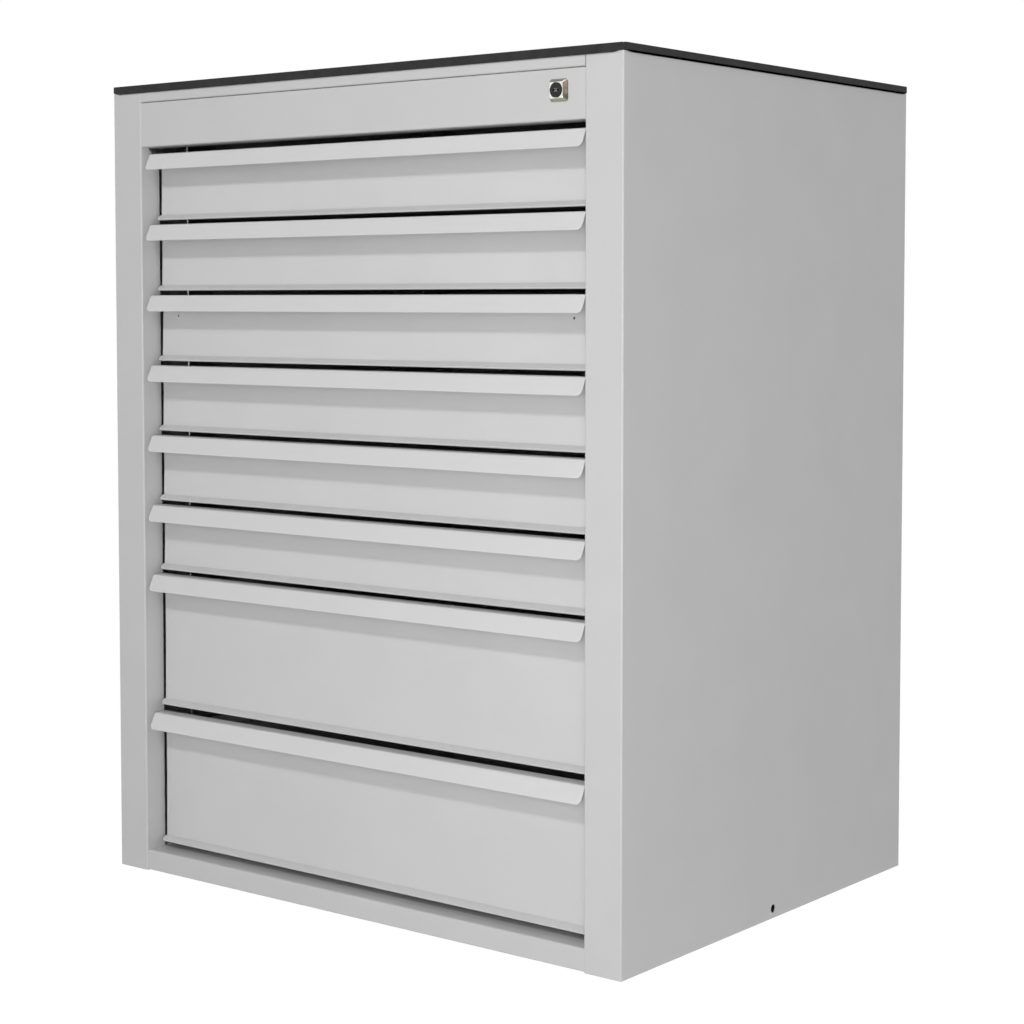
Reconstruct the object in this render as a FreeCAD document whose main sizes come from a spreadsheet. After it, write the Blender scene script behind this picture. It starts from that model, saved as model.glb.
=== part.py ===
import FreeCAD, Part
import os
import re
import Sketcher
from FreeCAD import Placement, Rotation, Vector

# A lockable steel cabinet of drawers for microscope slides: a folded sheet carcass with
# front posts, six shallow drawers with slide lanes over two deep ones, plain two-part
# runners, a central lock at the top right and a ribbed rubber mat on top.
#
# Frame: millimetres, +Z up, the drawers open towards -Y, +X is the right-hand side as
# seen from the front. The origin is the centre of the whole box's footprint.

SHALLOW_DRAWERS = 6
DEEP_DRAWERS = 2
DRAWERS = range(1, SHALLOW_DRAWERS + DEEP_DRAWERS + 1)
LAST = DRAWERS[-1]
SIDE_LANES = 7                 # slide lanes across a shallow drawer
DRILLED_DRAWER = DRAWERS[2]    # the drawer whose front carries two small holes
GUIDED_DRAWERS = DRAWERS[::3]  # the locking bar is guided below these drawers
BACK_SCREW_ROWS = 5

# Driving dimensions: name, millimetres, what it is.
DRIVING = [
    ("cabinet_width", 716, "outside width over the side panels"),
    ("cabinet_depth", 558, "from the posts' faces to the rear flanges"),
    ("gauge", 1.2, "sheet of the carcass, fronts and runners"),
    ("post_face", 45, "width of a front post"),
    ("post_return", 28, "depth of the post's inward return"),
    ("post_notch", 13, "depth that the return keeps beside the lock fascia"),
    ("post_notch_drop", 1.5, "top of the notch's slope, below the fascia"),
    ("rear_flange", 20, "width of a side panel's rear flange"),
    ("foot_flange", 22, "width of the flange that a side panel stands on"),
    ("side_hole", 9, "diameter of the joining hole low in each side panel"),
    ("side_hole_height", 10.5, "its centre above the floor"),
    ("rail_height", 24, "top of the bottom panel above the floor"),
    ("rail_setback", 1, "bottom rail behind the posts' faces"),
    ("rail_lift", 0.8, "bottom rail's lower edge above the floor"),
    ("rail_hem", 20, "depth of the hem under the bottom rail"),
    ("shallow_pitch", 80, "height of a shallow drawer's bay"),
    ("deep_pitch", 160, "height of a deep drawer's bay"),
    ("fascia_gap", 7, "between the drawer stack and the lock fascia"),
    ("fascia_height", 49.9, "height of the lock fascia"),
    ("fascia_setback", 1, "fascia behind the posts' faces"),
    ("fascia_flange", 28, "depth of the fascia's two flanges"),
    ("seam_gap", 0.4, "groove between the fascia and the top strip"),
    ("strip_height", 12.2, "height of the top panel's front strip"),
    ("strip_hem", 15, "depth of the hem under the strip"),
    ("mat_thickness", 7.5, "rubber above the steel top"),
    ("mat_overhang", 1.5, "mat beyond the steel all round"),
    ("mat_skirt", 1.6, "mat's edge below the steel top"),
    ("mat_corner", 4, "radius of the mat's corners"),
    ("front_gap", 5, "between a drawer front's end and the post"),
    ("panel_setback", 26, "drawer panel behind the posts' faces"),
    ("lip_setback", 8.6, "grip lip's upper edge behind the posts' faces"),
    ("lip_height", 18, "height of the sloping grip lip"),
    ("lip_drop", 0.6, "top of a front below the top of its bay"),
    ("lip_corner", 6, "radius of the lip's lower corners"),
    ("shallow_kick_rise", 11.3, "bend of a shallow front's lower edge above the next front"),
    ("deep_kick_rise", 14.3, "the same on a deep front"),
    ("kick_reach", 7.6, "how far the lower edge comes forward"),
    ("kick_fall", 5.7, "how far it falls on the way"),
    ("kick_corner", 2.2, "radius of the lower edge's corners"),
    ("end_flange", 7, "depth of the flanges at a front's ends"),
    ("label_hole", 3, "diameter of the two small holes in one front"),
    ("label_hole_inset", 27, "their centres in from the front's ends"),
    ("label_hole_drop", 23.3, "their centres below the front's top"),
    ("upright_inset", 12, "runner uprights inside the post's return"),
    ("upright_width", 40, "width of an upright along the depth"),
    ("upright_front", 60, "front upright behind the posts' faces"),
    ("upright_back", 40, "rear upright before the rear flanges"),
    ("runner_space", 17, "between a tray's side and the uprights"),
    ("runner_height", 38, "height of a fixed runner"),
    ("runner_reach", 13, "width of a fixed runner"),
    ("runner_drop", 42, "runner's centre below the front's top"),
    ("runner_front", 36, "runner's front end behind the posts' faces"),
    ("runner_back", 20, "runner's rear end before the rear flanges"),
    ("runner_play", 0.3, "between a drawer's rail and its runner"),
    ("runner_side_play", 2, "rail's edge to the runner's web"),
    ("extension", 400, "travel of a drawer"),
    ("stop_length", 20, "length of a runner's nylon stop block"),
    ("stop_play", 0.5, "left between the stops with a drawer fully out"),
    ("tray_gauge", 1, "sheet of the trays and slide lanes"),
    ("tray_depth", 490, "length of a tray"),
    ("tray_bottom_gap", 6, "tray's floor above the next front's top"),
    ("tray_rim_drop", 14, "tray's rim below its front's top"),
    ("tray_rim", 6, "width of the rims along a tray's sides"),
    ("strip_rise", 20, "height of a slide lane's strip"),
    ("strip_foot", 10, "foot of a slide lane's strip"),
    ("strip_play", 0.3, "strip's ends to the tray's walls"),
    ("lock_inset", 32, "lock's centre in from the post"),
    ("lock_rise", 29, "lock's centre above the fascia's lower edge"),
    ("lock_proud", 4.5, "lock's face before the posts' faces"),
    ("lock_face", 17, "diameter of the cylinder's face"),
    ("lock_face_depth", 1.6, "thickness of that face"),
    ("lock_face_proud", 0.3, "cylinder's face before its collar"),
    ("lock_face_play", 0.3, "cylinder's face to its recess"),
    ("lock_plug", 12, "diameter of the cylinder's plug"),
    ("lock_fit", 0.08, "radial play of the plug in its housing"),
    ("lock_body", 18, "diameter of the housing's threaded body"),
    ("lock_body_length", 31, "its length behind the fascia's face"),
    ("lock_body_play", 0.2, "body to the hole in the fascia"),
    ("lock_thread_play", 0.05, "body to its nut"),
    ("lock_nut_size", 14, "corner radius of the hexagon nut"),
    ("lock_nut_length", 4, "thickness of the nut"),
    ("bezel_size", 22, "side of the square bezel at the fascia"),
    ("bezel_front", 18, "side of the bezel's front"),
    ("bezel_collar", 18.8, "diameter of the bezel's round collar"),
    ("key_slot_length", 7.5, "key slot along the cylinder's face"),
    ("key_slot_width", 1.8, "key slot across"),
    ("key_slot_depth", 6, "key slot into the plug"),
    ("plug_tail", 3, "plug beyond the housing"),
    ("cam_gauge", 2.5, "thickness of the cam"),
    ("cam_hub", 6.5, "radius of the cam at the plug"),
    ("cam_tip", 4.5, "radius of the cam at its pin"),
    ("pin_reach", 8, "cam's pin from the lock's axis"),
    ("pin_size", 4, "diameter of the cam's pin"),
    ("pin_play", 0.5, "pin to the slot in the bar"),
    ("cam_screw_head", 6, "diameter of the cam screw's head"),
    ("cam_screw_height", 1.8, "height of that head"),
    ("cam_screw_size", 3, "diameter of the cam screw's shank"),
    ("cam_screw_length", 8, "shank inside the plug"),
    ("bar_gap", 2.5, "cam to the locking bar"),
    ("bar_gauge", 2, "thickness of the locking bar"),
    ("bar_width", 14, "width of the locking bar"),
    ("bar_inset", 2, "locking bar beyond the uprights' faces"),
    ("bar_edge", 8, "bar beyond its lowest window and round its slot"),
    ("catch_drop", 30, "a drawer's catch below its front's top"),
    ("catch_height", 10, "height of a catch"),
    ("catch_tail", 10, "catch behind the locking bar"),
    ("hook_depth", 5, "depth of the notch in a catch"),
    ("hook_grip", 4, "how far the locked bar stands in the notch"),
    ("hook_play", 2, "notch to the bar, before and behind"),
    ("window_play", 1.5, "catch to its window in the bar"),
    ("guide_height", 10, "height of a bar guide"),
    ("guide_wall", 2, "wall of a bar guide"),
    ("guide_play", 0.3, "bar to its guides"),
    ("screw_head", 7, "diameter of a runner screw's head"),
    ("screw_head_height", 1.6, "height of that head"),
    ("screw_size", 4, "diameter of a screw's shank"),
    ("screw_length", 4.2, "shank of a runner screw"),
    ("screw_play", 0.1, "radial play of a screw in its hole"),
    ("back_screw_head", 8, "diameter of a back panel screw's head"),
    ("back_screw_height", 1.4, "height of that head"),
    ("back_screw_length", 5, "shank of a back panel screw"),
    ("back_screw_end", 60, "end screws from the top and the floor"),
]

# Places worked out from the driving dimensions: name, formula.
LAYOUT = [
    ("front_y", "(lock_proud - mat_overhang - cabinet_depth) / 2"),
    ("back_y", "front_y + cabinet_depth"),
    ("half_width", "cabinet_width / 2"),
    ("half_opening", "half_width - post_face"),
    ("wall_inside", "half_width - gauge"),
    ("return_back", "front_y + post_return"),
    ("back_inside", "back_y - 2 * gauge"),
    ("upright_face", "half_opening - upright_inset"),
    ("front_upright_y", "front_y + upright_front"),
    ("rear_upright_y", "back_y - upright_back - upright_width"),
    ("panel_half", "half_opening - front_gap"),
    ("panel_front", "front_y + panel_setback"),
    ("panel_back", "panel_front + gauge"),
    ("lip_slant", "sqrt(lip_setback ^ 2 + lip_height ^ 2)"),
    ("kick_slant", "sqrt(kick_reach ^ 2 + kick_fall ^ 2)"),
    ("kick_hem", "2 * gauge"),
    ("tray_half", "upright_face - runner_space"),
    ("tray_end", "panel_back + tray_depth"),
    ("runner_start", "front_y + runner_front"),
    ("runner_end", "back_y - runner_back"),
    ("runner_web", "upright_face - gauge"),
    ("rail_half", "runner_height / 2 - gauge - runner_play"),
    ("rail_edge", "runner_web - runner_side_play"),
    ("stop_y", "runner_start + stop_length"),
    ("catch_stop_y", "stop_y + extension + stop_play"),
    ("fascia_front", "front_y + fascia_setback"),
    ("fascia_back", "fascia_front + gauge"),
    ("lock_x", "half_opening - lock_inset"),
    ("collar_front", "front_y - lock_proud + lock_face_proud"),
    ("housing_end", "fascia_front + lock_body_length"),
    ("plug_end", "housing_end + plug_tail"),
    ("cam_back", "plug_end + cam_gauge"),
    ("bar_front", "cam_back + bar_gap"),
    ("bar_back", "bar_front + bar_gauge"),
    ("bar_left", "upright_face + bar_inset"),
    ("bar_right", "bar_left + bar_width"),
    ("bar_travel", "pin_reach * sqrt(2)"),
    ("pin_rest_x", "lock_x + pin_reach / sqrt(2)"),
    ("slot_half", "pin_size / 2 + pin_play"),
]


def size_class(number):
    """Shallow or deep: the size of a drawer, counted from the top."""
    return "shallow" if number <= SHALLOW_DRAWERS else "deep"


# Heights, from the bottom drawer up to the mat.
LAYOUT.append((f"bay_floor_{LAST}", "rail_height - lip_drop"))
for number in reversed(DRAWERS):
    depth = size_class(number)
    LAYOUT.append((f"lip_top_{number}", f"bay_floor_{number} + {depth}_pitch"))
    LAYOUT.append((f"kick_bend_{number}", f"bay_floor_{number} + {depth}_kick_rise"))
    LAYOUT.append((f"runner_z_{number}", f"lip_top_{number} - runner_drop"))
    LAYOUT.append((f"catch_z_{number}", f"lip_top_{number} - catch_drop"))
    if number > 1:
        LAYOUT.append((f"bay_floor_{number - 1}", f"lip_top_{number}"))
LAYOUT += [
    ("fascia_bottom", "lip_top_1 + lip_drop + fascia_gap"),
    ("fascia_top", "fascia_bottom + fascia_height"),
    ("strip_bottom", "fascia_top + seam_gap"),
    ("body_top", "strip_bottom + strip_height"),
    ("lock_z", "fascia_bottom + lock_rise"),
    ("pin_rest_z", "lock_z - pin_reach / sqrt(2)"),
]

doc = FreeCAD.newDocument("slide_cabinet")
WORD = re.compile(r"[a-z_][a-z0-9_]*")


def fill_sheet(name, rows, text):
    """One row per value: its name, the value under that alias, and any remark."""
    page = doc.addObject("Spreadsheet::Sheet", name)
    for index, row in enumerate(rows, start=1):
        page.set(f"A{index}", row[0])
        page.set(f"B{index}", text(row[1]))
        page.setAlias(f"B{index}", row[0])
        if len(row) > 2:
            page.set(f"C{index}", row[2])
    return page


driving_names = {row[0] for row in DRIVING}
layout_names = {row[0] for row in LAYOUT}


def layout_text(formula):
    """A formula inside the Layout sheet: only the driving names need their sheet's name."""
    def full(match):
        word = match.group()
        return f"Dimensions.{word}" if word in driving_names else word
    return "=" + WORD.sub(full, formula)


def bind(formula):
    """A formula for a property: every name gets the name of its sheet."""
    def full(match):
        word = match.group()
        if word in driving_names:
            return f"Dimensions.{word}"
        return f"Layout.{word}" if word in layout_names else word
    return WORD.sub(full, formula)


fill_sheet("Dimensions", DRIVING, str)
fill_sheet("Layout", LAYOUT, layout_text)
doc.recompute()

pieces = []


def piece(item, label):
    """Keep an object as a sub-part of the cabinet, under its own name."""
    item.Label = label
    pieces.append(item)
    return item


def block(x, y, z):
    """Box between two formulas on each axis."""
    item = doc.addObject("Part::Box", "Block")
    for axis, side, (low, high) in zip("xyz", ("Length", "Width", "Height"), (x, y, z)):
        item.setExpression(side, bind(f"({high}) - ({low})"))
        item.setExpression(f"Placement.Base.{axis}", bind(low))
    return item


def rod(axis, radius, start, end, first, second):
    """Round bar along X or Y; first and second are its centre on the other two axes."""
    item = doc.addObject("Part::Cylinder", "Rod")
    item.setExpression("Radius", bind(radius))
    item.setExpression("Height", bind(f"({end}) - ({start})"))
    if axis == "x":
        item.Placement = Placement(Vector(), Rotation(Vector(0, 1, 0), 90))
        places = {"x": start, "y": first, "z": second}
    else:
        item.Placement = Placement(Vector(), Rotation(Vector(1, 0, 0), -90))
        places = {"x": first, "y": start, "z": second}
    for name, place in places.items():
        item.setExpression(f"Placement.Base.{name}", bind(place))
    return item


def fuse(*items):
    """One solid from several that touch or overlap."""
    item = doc.addObject("Part::MultiFuse", "Fuse")
    item.Shapes = list(items)
    item.Refine = True
    return item


def cut(base, *tools):
    """The base with every tool taken out of it."""
    item = doc.addObject("Part::Cut", "Cut")
    item.Base = base
    item.Tool = tools[0] if len(tools) == 1 else group(*tools)
    return item


def group(*items):
    """Separate solids kept side by side."""
    item = doc.addObject("Part::Compound", "Group")
    item.Links = list(items)
    return item


def mirrored(source):
    """The same thing on the other side of the cabinet."""
    item = doc.addObject("Part::Mirroring", "Mirror")
    item.Source = source
    item.Base = Vector()
    item.Normal = Vector(1, 0, 0)
    return item


def pair(right):
    """A right-hand piece with its left-hand mirror image."""
    return group(right, mirrored(right))


def outline(body, role, offset, corners):
    """Closed outline of straight edges on one of the body's planes, moved by an offset
    along the plane's normal. Each corner is tied to two formulas."""
    plane = next(item for item in body.Origin.OriginFeatures if item.Role == role)
    sketch = body.newObject("Sketcher::SketchObject", "Outline")
    sketch.AttachmentSupport = [(plane, "")]
    sketch.MapMode = "FlatFace"
    sketch.setExpression("AttachmentOffset.Base.z", bind(offset))
    count = len(corners)
    starts = [Vector(index, index * index, 0) for index in range(count)]
    edges = []
    rules = []
    for index in range(count):
        follower = (index + 1) % count
        edges.append(Part.LineSegment(starts[index], starts[follower]))
        rules.append(Sketcher.Constraint("Coincident", index, 2, follower, 1))
    for index, start in enumerate(starts):
        rules.append(Sketcher.Constraint("DistanceX", -1, 1, index, 1, start.x))
        rules.append(Sketcher.Constraint("DistanceY", -1, 1, index, 1, start.y))
    sketch.addGeometry(edges)
    sketch.addConstraint(rules)
    for index, (first, second) in enumerate(corners):
        sketch.setExpression(f"Constraints[{count + 2 * index}]", bind(first))
        sketch.setExpression(f"Constraints[{count + 2 * index + 1}]", bind(second))
    return sketch


def folded(role, offset, length, corners):
    """Sheet folded to a profile: the outline padded along its plane's normal."""
    body = doc.addObject("PartDesign::Body", "Folded")
    sketch = outline(body, role, offset, corners)
    pad = body.newObject("PartDesign::Pad", "Pad")
    pad.Profile = sketch
    pad.setExpression("Length", bind(length))
    sketch.Visibility = False
    return body


def round_edges(body, radius, places):
    """Round those edges of the body's last feature whose middle lies at one of the
    places, each a triple of layout or driving formulas already worked out."""
    doc.recompute()
    base = body.Tip
    names = []
    for index, edge in enumerate(base.Shape.Edges, start=1):
        middle = edge.valueAt((edge.FirstParameter + edge.LastParameter) / 2)
        if any(middle.distanceToPoint(place) < gauge / 4 for place in places):
            names.append(f"Edge{index}")
    fillet = body.newObject("PartDesign::Fillet", "Rounding")
    fillet.Base = (base, names)
    fillet.setExpression("Radius", bind(radius))
    return fillet


dimension = doc.getObject("Dimensions")
layout = doc.getObject("Layout")
gauge = float(dimension.gauge)


# ---------------------------------------------------------------- carcass

def back_screw_height(row):
    """Height of a row of back panel screws."""
    share = row / (BACK_SCREW_ROWS - 1)
    return f"back_screw_end + (body_top - 2 * back_screw_end) * {share}"


BACK_SCREW_X = "half_width - rear_flange / 2"


def back_screw_hole(side, row):
    """Clearance hole through a rear flange and the back panel behind it."""
    return rod("y", "screw_size / 2 + screw_play", "back_inside - gauge", "back_y + gauge",
               f"{side} * ({BACK_SCREW_X})", back_screw_height(row))


def side_panel():
    """Right side of the carcass: front post, return, wall and rear flange folded from
    one sheet, with a foot flange and the joining hole. The return ends under the top
    sheet and is notched beside the fascia."""
    wall = folded("XY_Plane", "0", "body_top", [
        ("half_opening", "return_back"),
        ("half_opening", "front_y"),
        ("half_width", "front_y"),
        ("half_width", "back_y"),
        ("half_width - rear_flange", "back_y"),
        ("half_width - rear_flange", "back_y - gauge"),
        ("wall_inside", "back_y - gauge"),
        ("wall_inside", "front_y + gauge"),
        ("half_opening + gauge", "front_y + gauge"),
        ("half_opening + gauge", "return_back"),
    ])
    foot = block(("half_width - foot_flange", "wall_inside"),
                 ("return_back + gauge", "back_inside - gauge"), ("0", "gauge"))
    slope = "post_return - post_notch + gauge"
    notch_top = "fascia_bottom - post_notch_drop"
    notch = folded("YZ_Plane", "half_opening - gauge", "3 * gauge", [
        ("front_y + gauge", "body_top + gauge"),
        ("front_y + gauge", "body_top - gauge"),
        ("front_y + post_notch", "body_top - gauge"),
        ("front_y + post_notch", notch_top),
        (f"front_y + post_notch + {slope}", f"{notch_top} - ({slope})"),
        (f"front_y + post_notch + {slope}", "body_top + gauge"),
    ])
    hole = rod("x", "side_hole / 2", "wall_inside - gauge", "half_width + gauge",
               "(front_y + back_y) / 2", "side_hole_height")
    screws = [back_screw_hole(1, row) for row in range(BACK_SCREW_ROWS)]
    return cut(fuse(wall, foot), notch, hole, *screws)


right_side = piece(side_panel(), "right_side_panel")
piece(mirrored(right_side), "left_side_panel")

piece(fuse(
    block(("-wall_inside", "wall_inside"), ("front_y + gauge", "back_y - gauge"),
          ("body_top - gauge", "body_top")),
    block(("-half_opening", "half_opening"), ("front_y", "front_y + gauge"),
          ("strip_bottom", "body_top")),
    block(("-half_opening", "half_opening"), ("front_y", "front_y + strip_hem"),
          ("strip_bottom", "strip_bottom + gauge")),
), "top_panel")

piece(fuse(
    block(("-half_opening", "half_opening"),
          ("front_y + rail_setback", "front_y + rail_setback + gauge"),
          ("rail_lift", "rail_height")),
    block(("-half_opening", "half_opening"),
          ("front_y + rail_setback", "front_y + rail_setback + rail_hem"),
          ("rail_lift", "rail_lift + gauge")),
    block(("-half_opening", "half_opening"),
          ("front_y + rail_setback", "return_back + gauge"),
          ("rail_height - gauge", "rail_height")),
    block(("-wall_inside", "wall_inside"), ("return_back + gauge", "back_inside"),
          ("rail_height - gauge", "rail_height")),
    block(("-wall_inside", "wall_inside"), ("back_inside - gauge", "back_inside"),
          ("gauge", "rail_height")),
), "bottom_panel")

piece(cut(
    block(("-wall_inside", "wall_inside"), ("back_inside", "back_y - gauge"),
          ("gauge", "body_top - gauge")),
    *[back_screw_hole(side, row) for side in (-1, 1) for row in range(BACK_SCREW_ROWS)],
), "back_panel")

fascia_channel = folded("YZ_Plane", "-half_opening", "2 * half_opening", [
    ("fascia_front", "fascia_bottom"),
    ("fascia_back + fascia_flange", "fascia_bottom"),
    ("fascia_back + fascia_flange", "fascia_bottom + gauge"),
    ("fascia_back", "fascia_bottom + gauge"),
    ("fascia_back", "fascia_top - gauge"),
    ("fascia_back + fascia_flange", "fascia_top - gauge"),
    ("fascia_back + fascia_flange", "fascia_top"),
    ("fascia_front", "fascia_top"),
])
piece(cut(
    fascia_channel,
    rod("y", "lock_body / 2 + lock_body_play", "fascia_front - gauge",
        "fascia_back + gauge", "lock_x", "lock_z"),
), "lock_fascia")


def rubber_mat():
    """Mat with rounded corners whose edge hangs a little below the steel top."""
    half = "half_width + mat_overhang"
    front = "front_y - mat_overhang"
    back = "back_y + mat_overhang"
    body = folded("XY_Plane", "body_top - mat_skirt", "mat_thickness + mat_skirt", [
        (f"-({half})", front), (half, front), (half, back), (f"-({half})", back),
    ])
    reach = float(layout.half_width) + float(dimension.mat_overhang)
    ends = (float(layout.front_y) - float(dimension.mat_overhang),
            float(layout.back_y) + float(dimension.mat_overhang))
    middle = float(layout.body_top)
    middle += (float(dimension.mat_thickness) - float(dimension.mat_skirt)) / 2
    round_edges(body, "mat_corner", [
        Vector(side * reach, end, middle) for side in (-1, 1) for end in ends
    ])
    steel = block(("-half_width", "half_width"), ("front_y", "back_y"),
                  ("body_top - 2 * mat_skirt", "body_top"))
    return cut(body, steel)


piece(rubber_mat(), "rubber_mat")


def upright(start):
    """Right-hand channel that carries the runners, open towards the side wall."""
    channel = folded("XY_Plane", "rail_height", "body_top - gauge - rail_height", [
        ("upright_face", start),
        ("wall_inside", start),
        ("wall_inside", f"{start} + gauge"),
        ("upright_face + gauge", f"{start} + gauge"),
        ("upright_face + gauge", f"{start} + upright_width - gauge"),
        ("wall_inside", f"{start} + upright_width - gauge"),
        ("wall_inside", f"{start} + upright_width"),
        ("upright_face", f"{start} + upright_width"),
    ])
    return cut(channel, *[screw_hole(number, start) for number in DRAWERS])


def screw_hole(number, start):
    """Hole for the screw that holds one runner to one upright."""
    return rod("x", "screw_size / 2 + screw_play", "runner_web - gauge",
               "upright_face + 2 * gauge", f"{start} + upright_width / 2",
               f"runner_z_{number}")


for end, start in (("front", "front_upright_y"), ("rear", "rear_upright_y")):
    right_upright = piece(upright(start), f"right_{end}_upright")
    piece(mirrored(right_upright), f"left_{end}_upright")


# ---------------------------------------------------------------- runners

def fixed_runner(number):
    """Right-hand runner: a channel screwed to the uprights, open towards the drawer."""
    centre = f"runner_z_{number}"
    low = f"{centre} - runner_height / 2"
    high = f"{centre} + runner_height / 2"
    channel = folded("XZ_Plane", "-runner_end", "runner_end - runner_start", [
        ("upright_face - runner_reach", low),
        ("upright_face", low),
        ("upright_face", high),
        ("upright_face - runner_reach", high),
        ("upright_face - runner_reach", f"{high} - gauge"),
        ("runner_web", f"{high} - gauge"),
        ("runner_web", f"{low} + gauge"),
        ("upright_face - runner_reach", f"{low} + gauge"),
    ])
    return cut(channel, screw_hole(number, "front_upright_y"),
               screw_hole(number, "rear_upright_y"))


def drawer_rail(number):
    """Right-hand rail on a tray's side: a channel that slides inside the runner, with a
    tab across it that meets the stop block when the drawer is fully out."""
    centre = f"runner_z_{number}"
    low = f"{centre} - rail_half"
    high = f"{centre} + rail_half"
    channel = folded("XZ_Plane", "-tray_end", "tray_end - panel_back - gauge", [
        ("tray_half", low),
        ("rail_edge", low),
        ("rail_edge", f"{low} + gauge"),
        ("tray_half + gauge", f"{low} + gauge"),
        ("tray_half + gauge", f"{high} - gauge"),
        ("rail_edge", f"{high} - gauge"),
        ("rail_edge", high),
        ("tray_half", high),
    ])
    tab = block(("tray_half", "rail_edge"), ("catch_stop_y", "catch_stop_y + gauge"),
                (low, high))
    return fuse(channel, tab)


def stop_block(number):
    """Nylon block at the front of a runner, inside the drawer's rail."""
    centre = f"runner_z_{number}"
    half = "(rail_half - gauge - runner_play)"
    return block(("tray_half + gauge + runner_play", "runner_web"),
                 ("runner_start", "stop_y"), (f"{centre} - {half}", f"{centre} + {half}"))


def runner_screw(number, start):
    """Pan-head screw through the runner's web into an upright."""
    middle = f"{start} + upright_width / 2"
    head = rod("x", "screw_head / 2", "runner_web - screw_head_height", "runner_web",
               middle, f"runner_z_{number}")
    shank = rod("x", "screw_size / 2", "runner_web - screw_head_height / 2",
                "runner_web + screw_length", middle, f"runner_z_{number}")
    return fuse(head, shank)


for number in DRAWERS:
    piece(pair(fixed_runner(number)), f"runner_pair_{number}")
piece(pair(group(*[stop_block(number) for number in DRAWERS])), "runner_stop_blocks")
piece(pair(group(*[
    runner_screw(number, start)
    for number in DRAWERS for start in ("front_upright_y", "rear_upright_y")
])), "runner_screws")


def back_screw(row):
    """Screw through the right rear flange into the back panel."""
    head = rod("y", "back_screw_head / 2", "back_y", "back_y + back_screw_height",
               BACK_SCREW_X, back_screw_height(row))
    shank = rod("y", "screw_size / 2", "back_y - back_screw_length",
                "back_y + back_screw_height / 2", BACK_SCREW_X, back_screw_height(row))
    return fuse(head, shank)


piece(pair(group(*[back_screw(row) for row in range(BACK_SCREW_ROWS)])),
      "back_panel_screws")


# ---------------------------------------------------------------- drawers

def drawer_front(number):
    """Front folded from one sheet: sloping grip lip, top flange, panel and a hemmed
    lower edge that comes forward, with end flanges and the catch for the lock."""
    top = f"lip_top_{number}"
    bend = f"kick_bend_{number}"
    body = folded("YZ_Plane", "-panel_half", "2 * panel_half", [
        ("front_y", f"{top} - lip_height"),
        ("front_y + gauge * lip_height / lip_slant",
         f"{top} - lip_height - gauge * lip_setback / lip_slant"),
        ("front_y + lip_setback + gauge * (lip_slant - lip_setback) / lip_height",
         f"{top} - gauge"),
        ("panel_front", f"{top} - gauge"),
        ("panel_front", bend),
        ("panel_front - kick_reach", f"{bend} - kick_fall"),
        ("panel_front - kick_reach + kick_hem * kick_fall / kick_slant",
         f"{bend} - kick_fall - kick_hem * kick_reach / kick_slant"),
        ("panel_back", f"{bend} - (kick_hem * kick_slant - gauge * kick_fall) / kick_reach"),
        ("panel_back", top),
        ("front_y + lip_setback", top),
    ])
    round_front_corners(body, number)
    flanges = [
        block((low, high), ("panel_back", "panel_back + end_flange"), (bend, top))
        for low, high in (("panel_half - gauge", "panel_half"),
                          ("-panel_half", "gauge - panel_half"))
    ]
    centre = f"catch_z_{number}"
    catch = block(("panel_half - gauge", "panel_half"), ("panel_back", "bar_back + catch_tail"),
                  (f"{centre} - catch_height / 2", f"{centre} + catch_height / 2"))
    notch = block(("panel_half - 2 * gauge", "panel_half + gauge"),
                  ("bar_front - hook_play", "bar_back + hook_play"),
                  (f"{centre} - catch_height", f"{centre} - catch_height / 2 + hook_depth"))
    return cut(fuse(body, *flanges, catch), notch, *label_holes(number))


def round_front_corners(body, number):
    """Round the lower corners of the grip lip and of the lower edge."""
    half = float(layout.panel_half)
    front = float(layout.front_y)
    top = float(getattr(layout, f"lip_top_{number}"))
    lip_y = gauge * float(dimension.lip_height) / float(layout.lip_slant) / 2
    lip_z = gauge * float(dimension.lip_setback) / float(layout.lip_slant) / 2
    lip = (front + lip_y, top - float(dimension.lip_height) - lip_z)
    round_edges(body, "lip_corner", [Vector(side * half, *lip) for side in (-1, 1)])
    hem = float(layout.kick_hem)
    bend = float(getattr(layout, f"kick_bend_{number}"))
    kick_y = hem * float(dimension.kick_fall) / float(layout.kick_slant) / 2
    kick_z = hem * float(dimension.kick_reach) / float(layout.kick_slant) / 2
    kick = (float(layout.panel_front) - float(dimension.kick_reach) + kick_y,
            bend - float(dimension.kick_fall) - kick_z)
    round_edges(body, "kick_corner", [Vector(side * half, *kick) for side in (-1, 1)])


def label_holes(number):
    """Two small holes through one drawer's front and the tray wall behind it."""
    if number != DRILLED_DRAWER:
        return []
    place = "(panel_half - label_hole_inset)"
    return [
        rod("y", "label_hole / 2", "panel_front - gauge", "panel_back + 2 * tray_gauge",
            f"{side} * {place}", f"lip_top_{number} - label_hole_drop")
        for side in (-1, 1)
    ]


def drawer_tray(number):
    """Open tray welded to the front: a pan folded with rims along its sides, and a wall
    across each end."""
    low = f"bay_floor_{number} + tray_bottom_gap"
    rim = f"lip_top_{number} - tray_rim_drop"
    along = ("panel_back", "tray_end")
    across = ("tray_gauge - tray_half", "tray_half - tray_gauge")
    sheet = block(("-tray_half", "tray_half"), along, (low, rim))
    rims = block(("-tray_half - tray_rim", "tray_half + tray_rim"), along,
                 (f"{rim} - tray_gauge", rim))
    inside = block(across, along, (f"{low} + tray_gauge", f"{rim} + tray_gauge"))
    pan = cut(fuse(sheet, rims), inside)
    height = (f"{low} + tray_gauge", rim)
    front_wall = block(across, ("panel_back", "panel_back + tray_gauge"), height)
    rear_wall = block(across, ("tray_end - tray_gauge", "tray_end"), height)
    if number == DRILLED_DRAWER:
        front_wall = cut(front_wall, *label_holes(number))
    return group(pan, front_wall, rear_wall)


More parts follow.
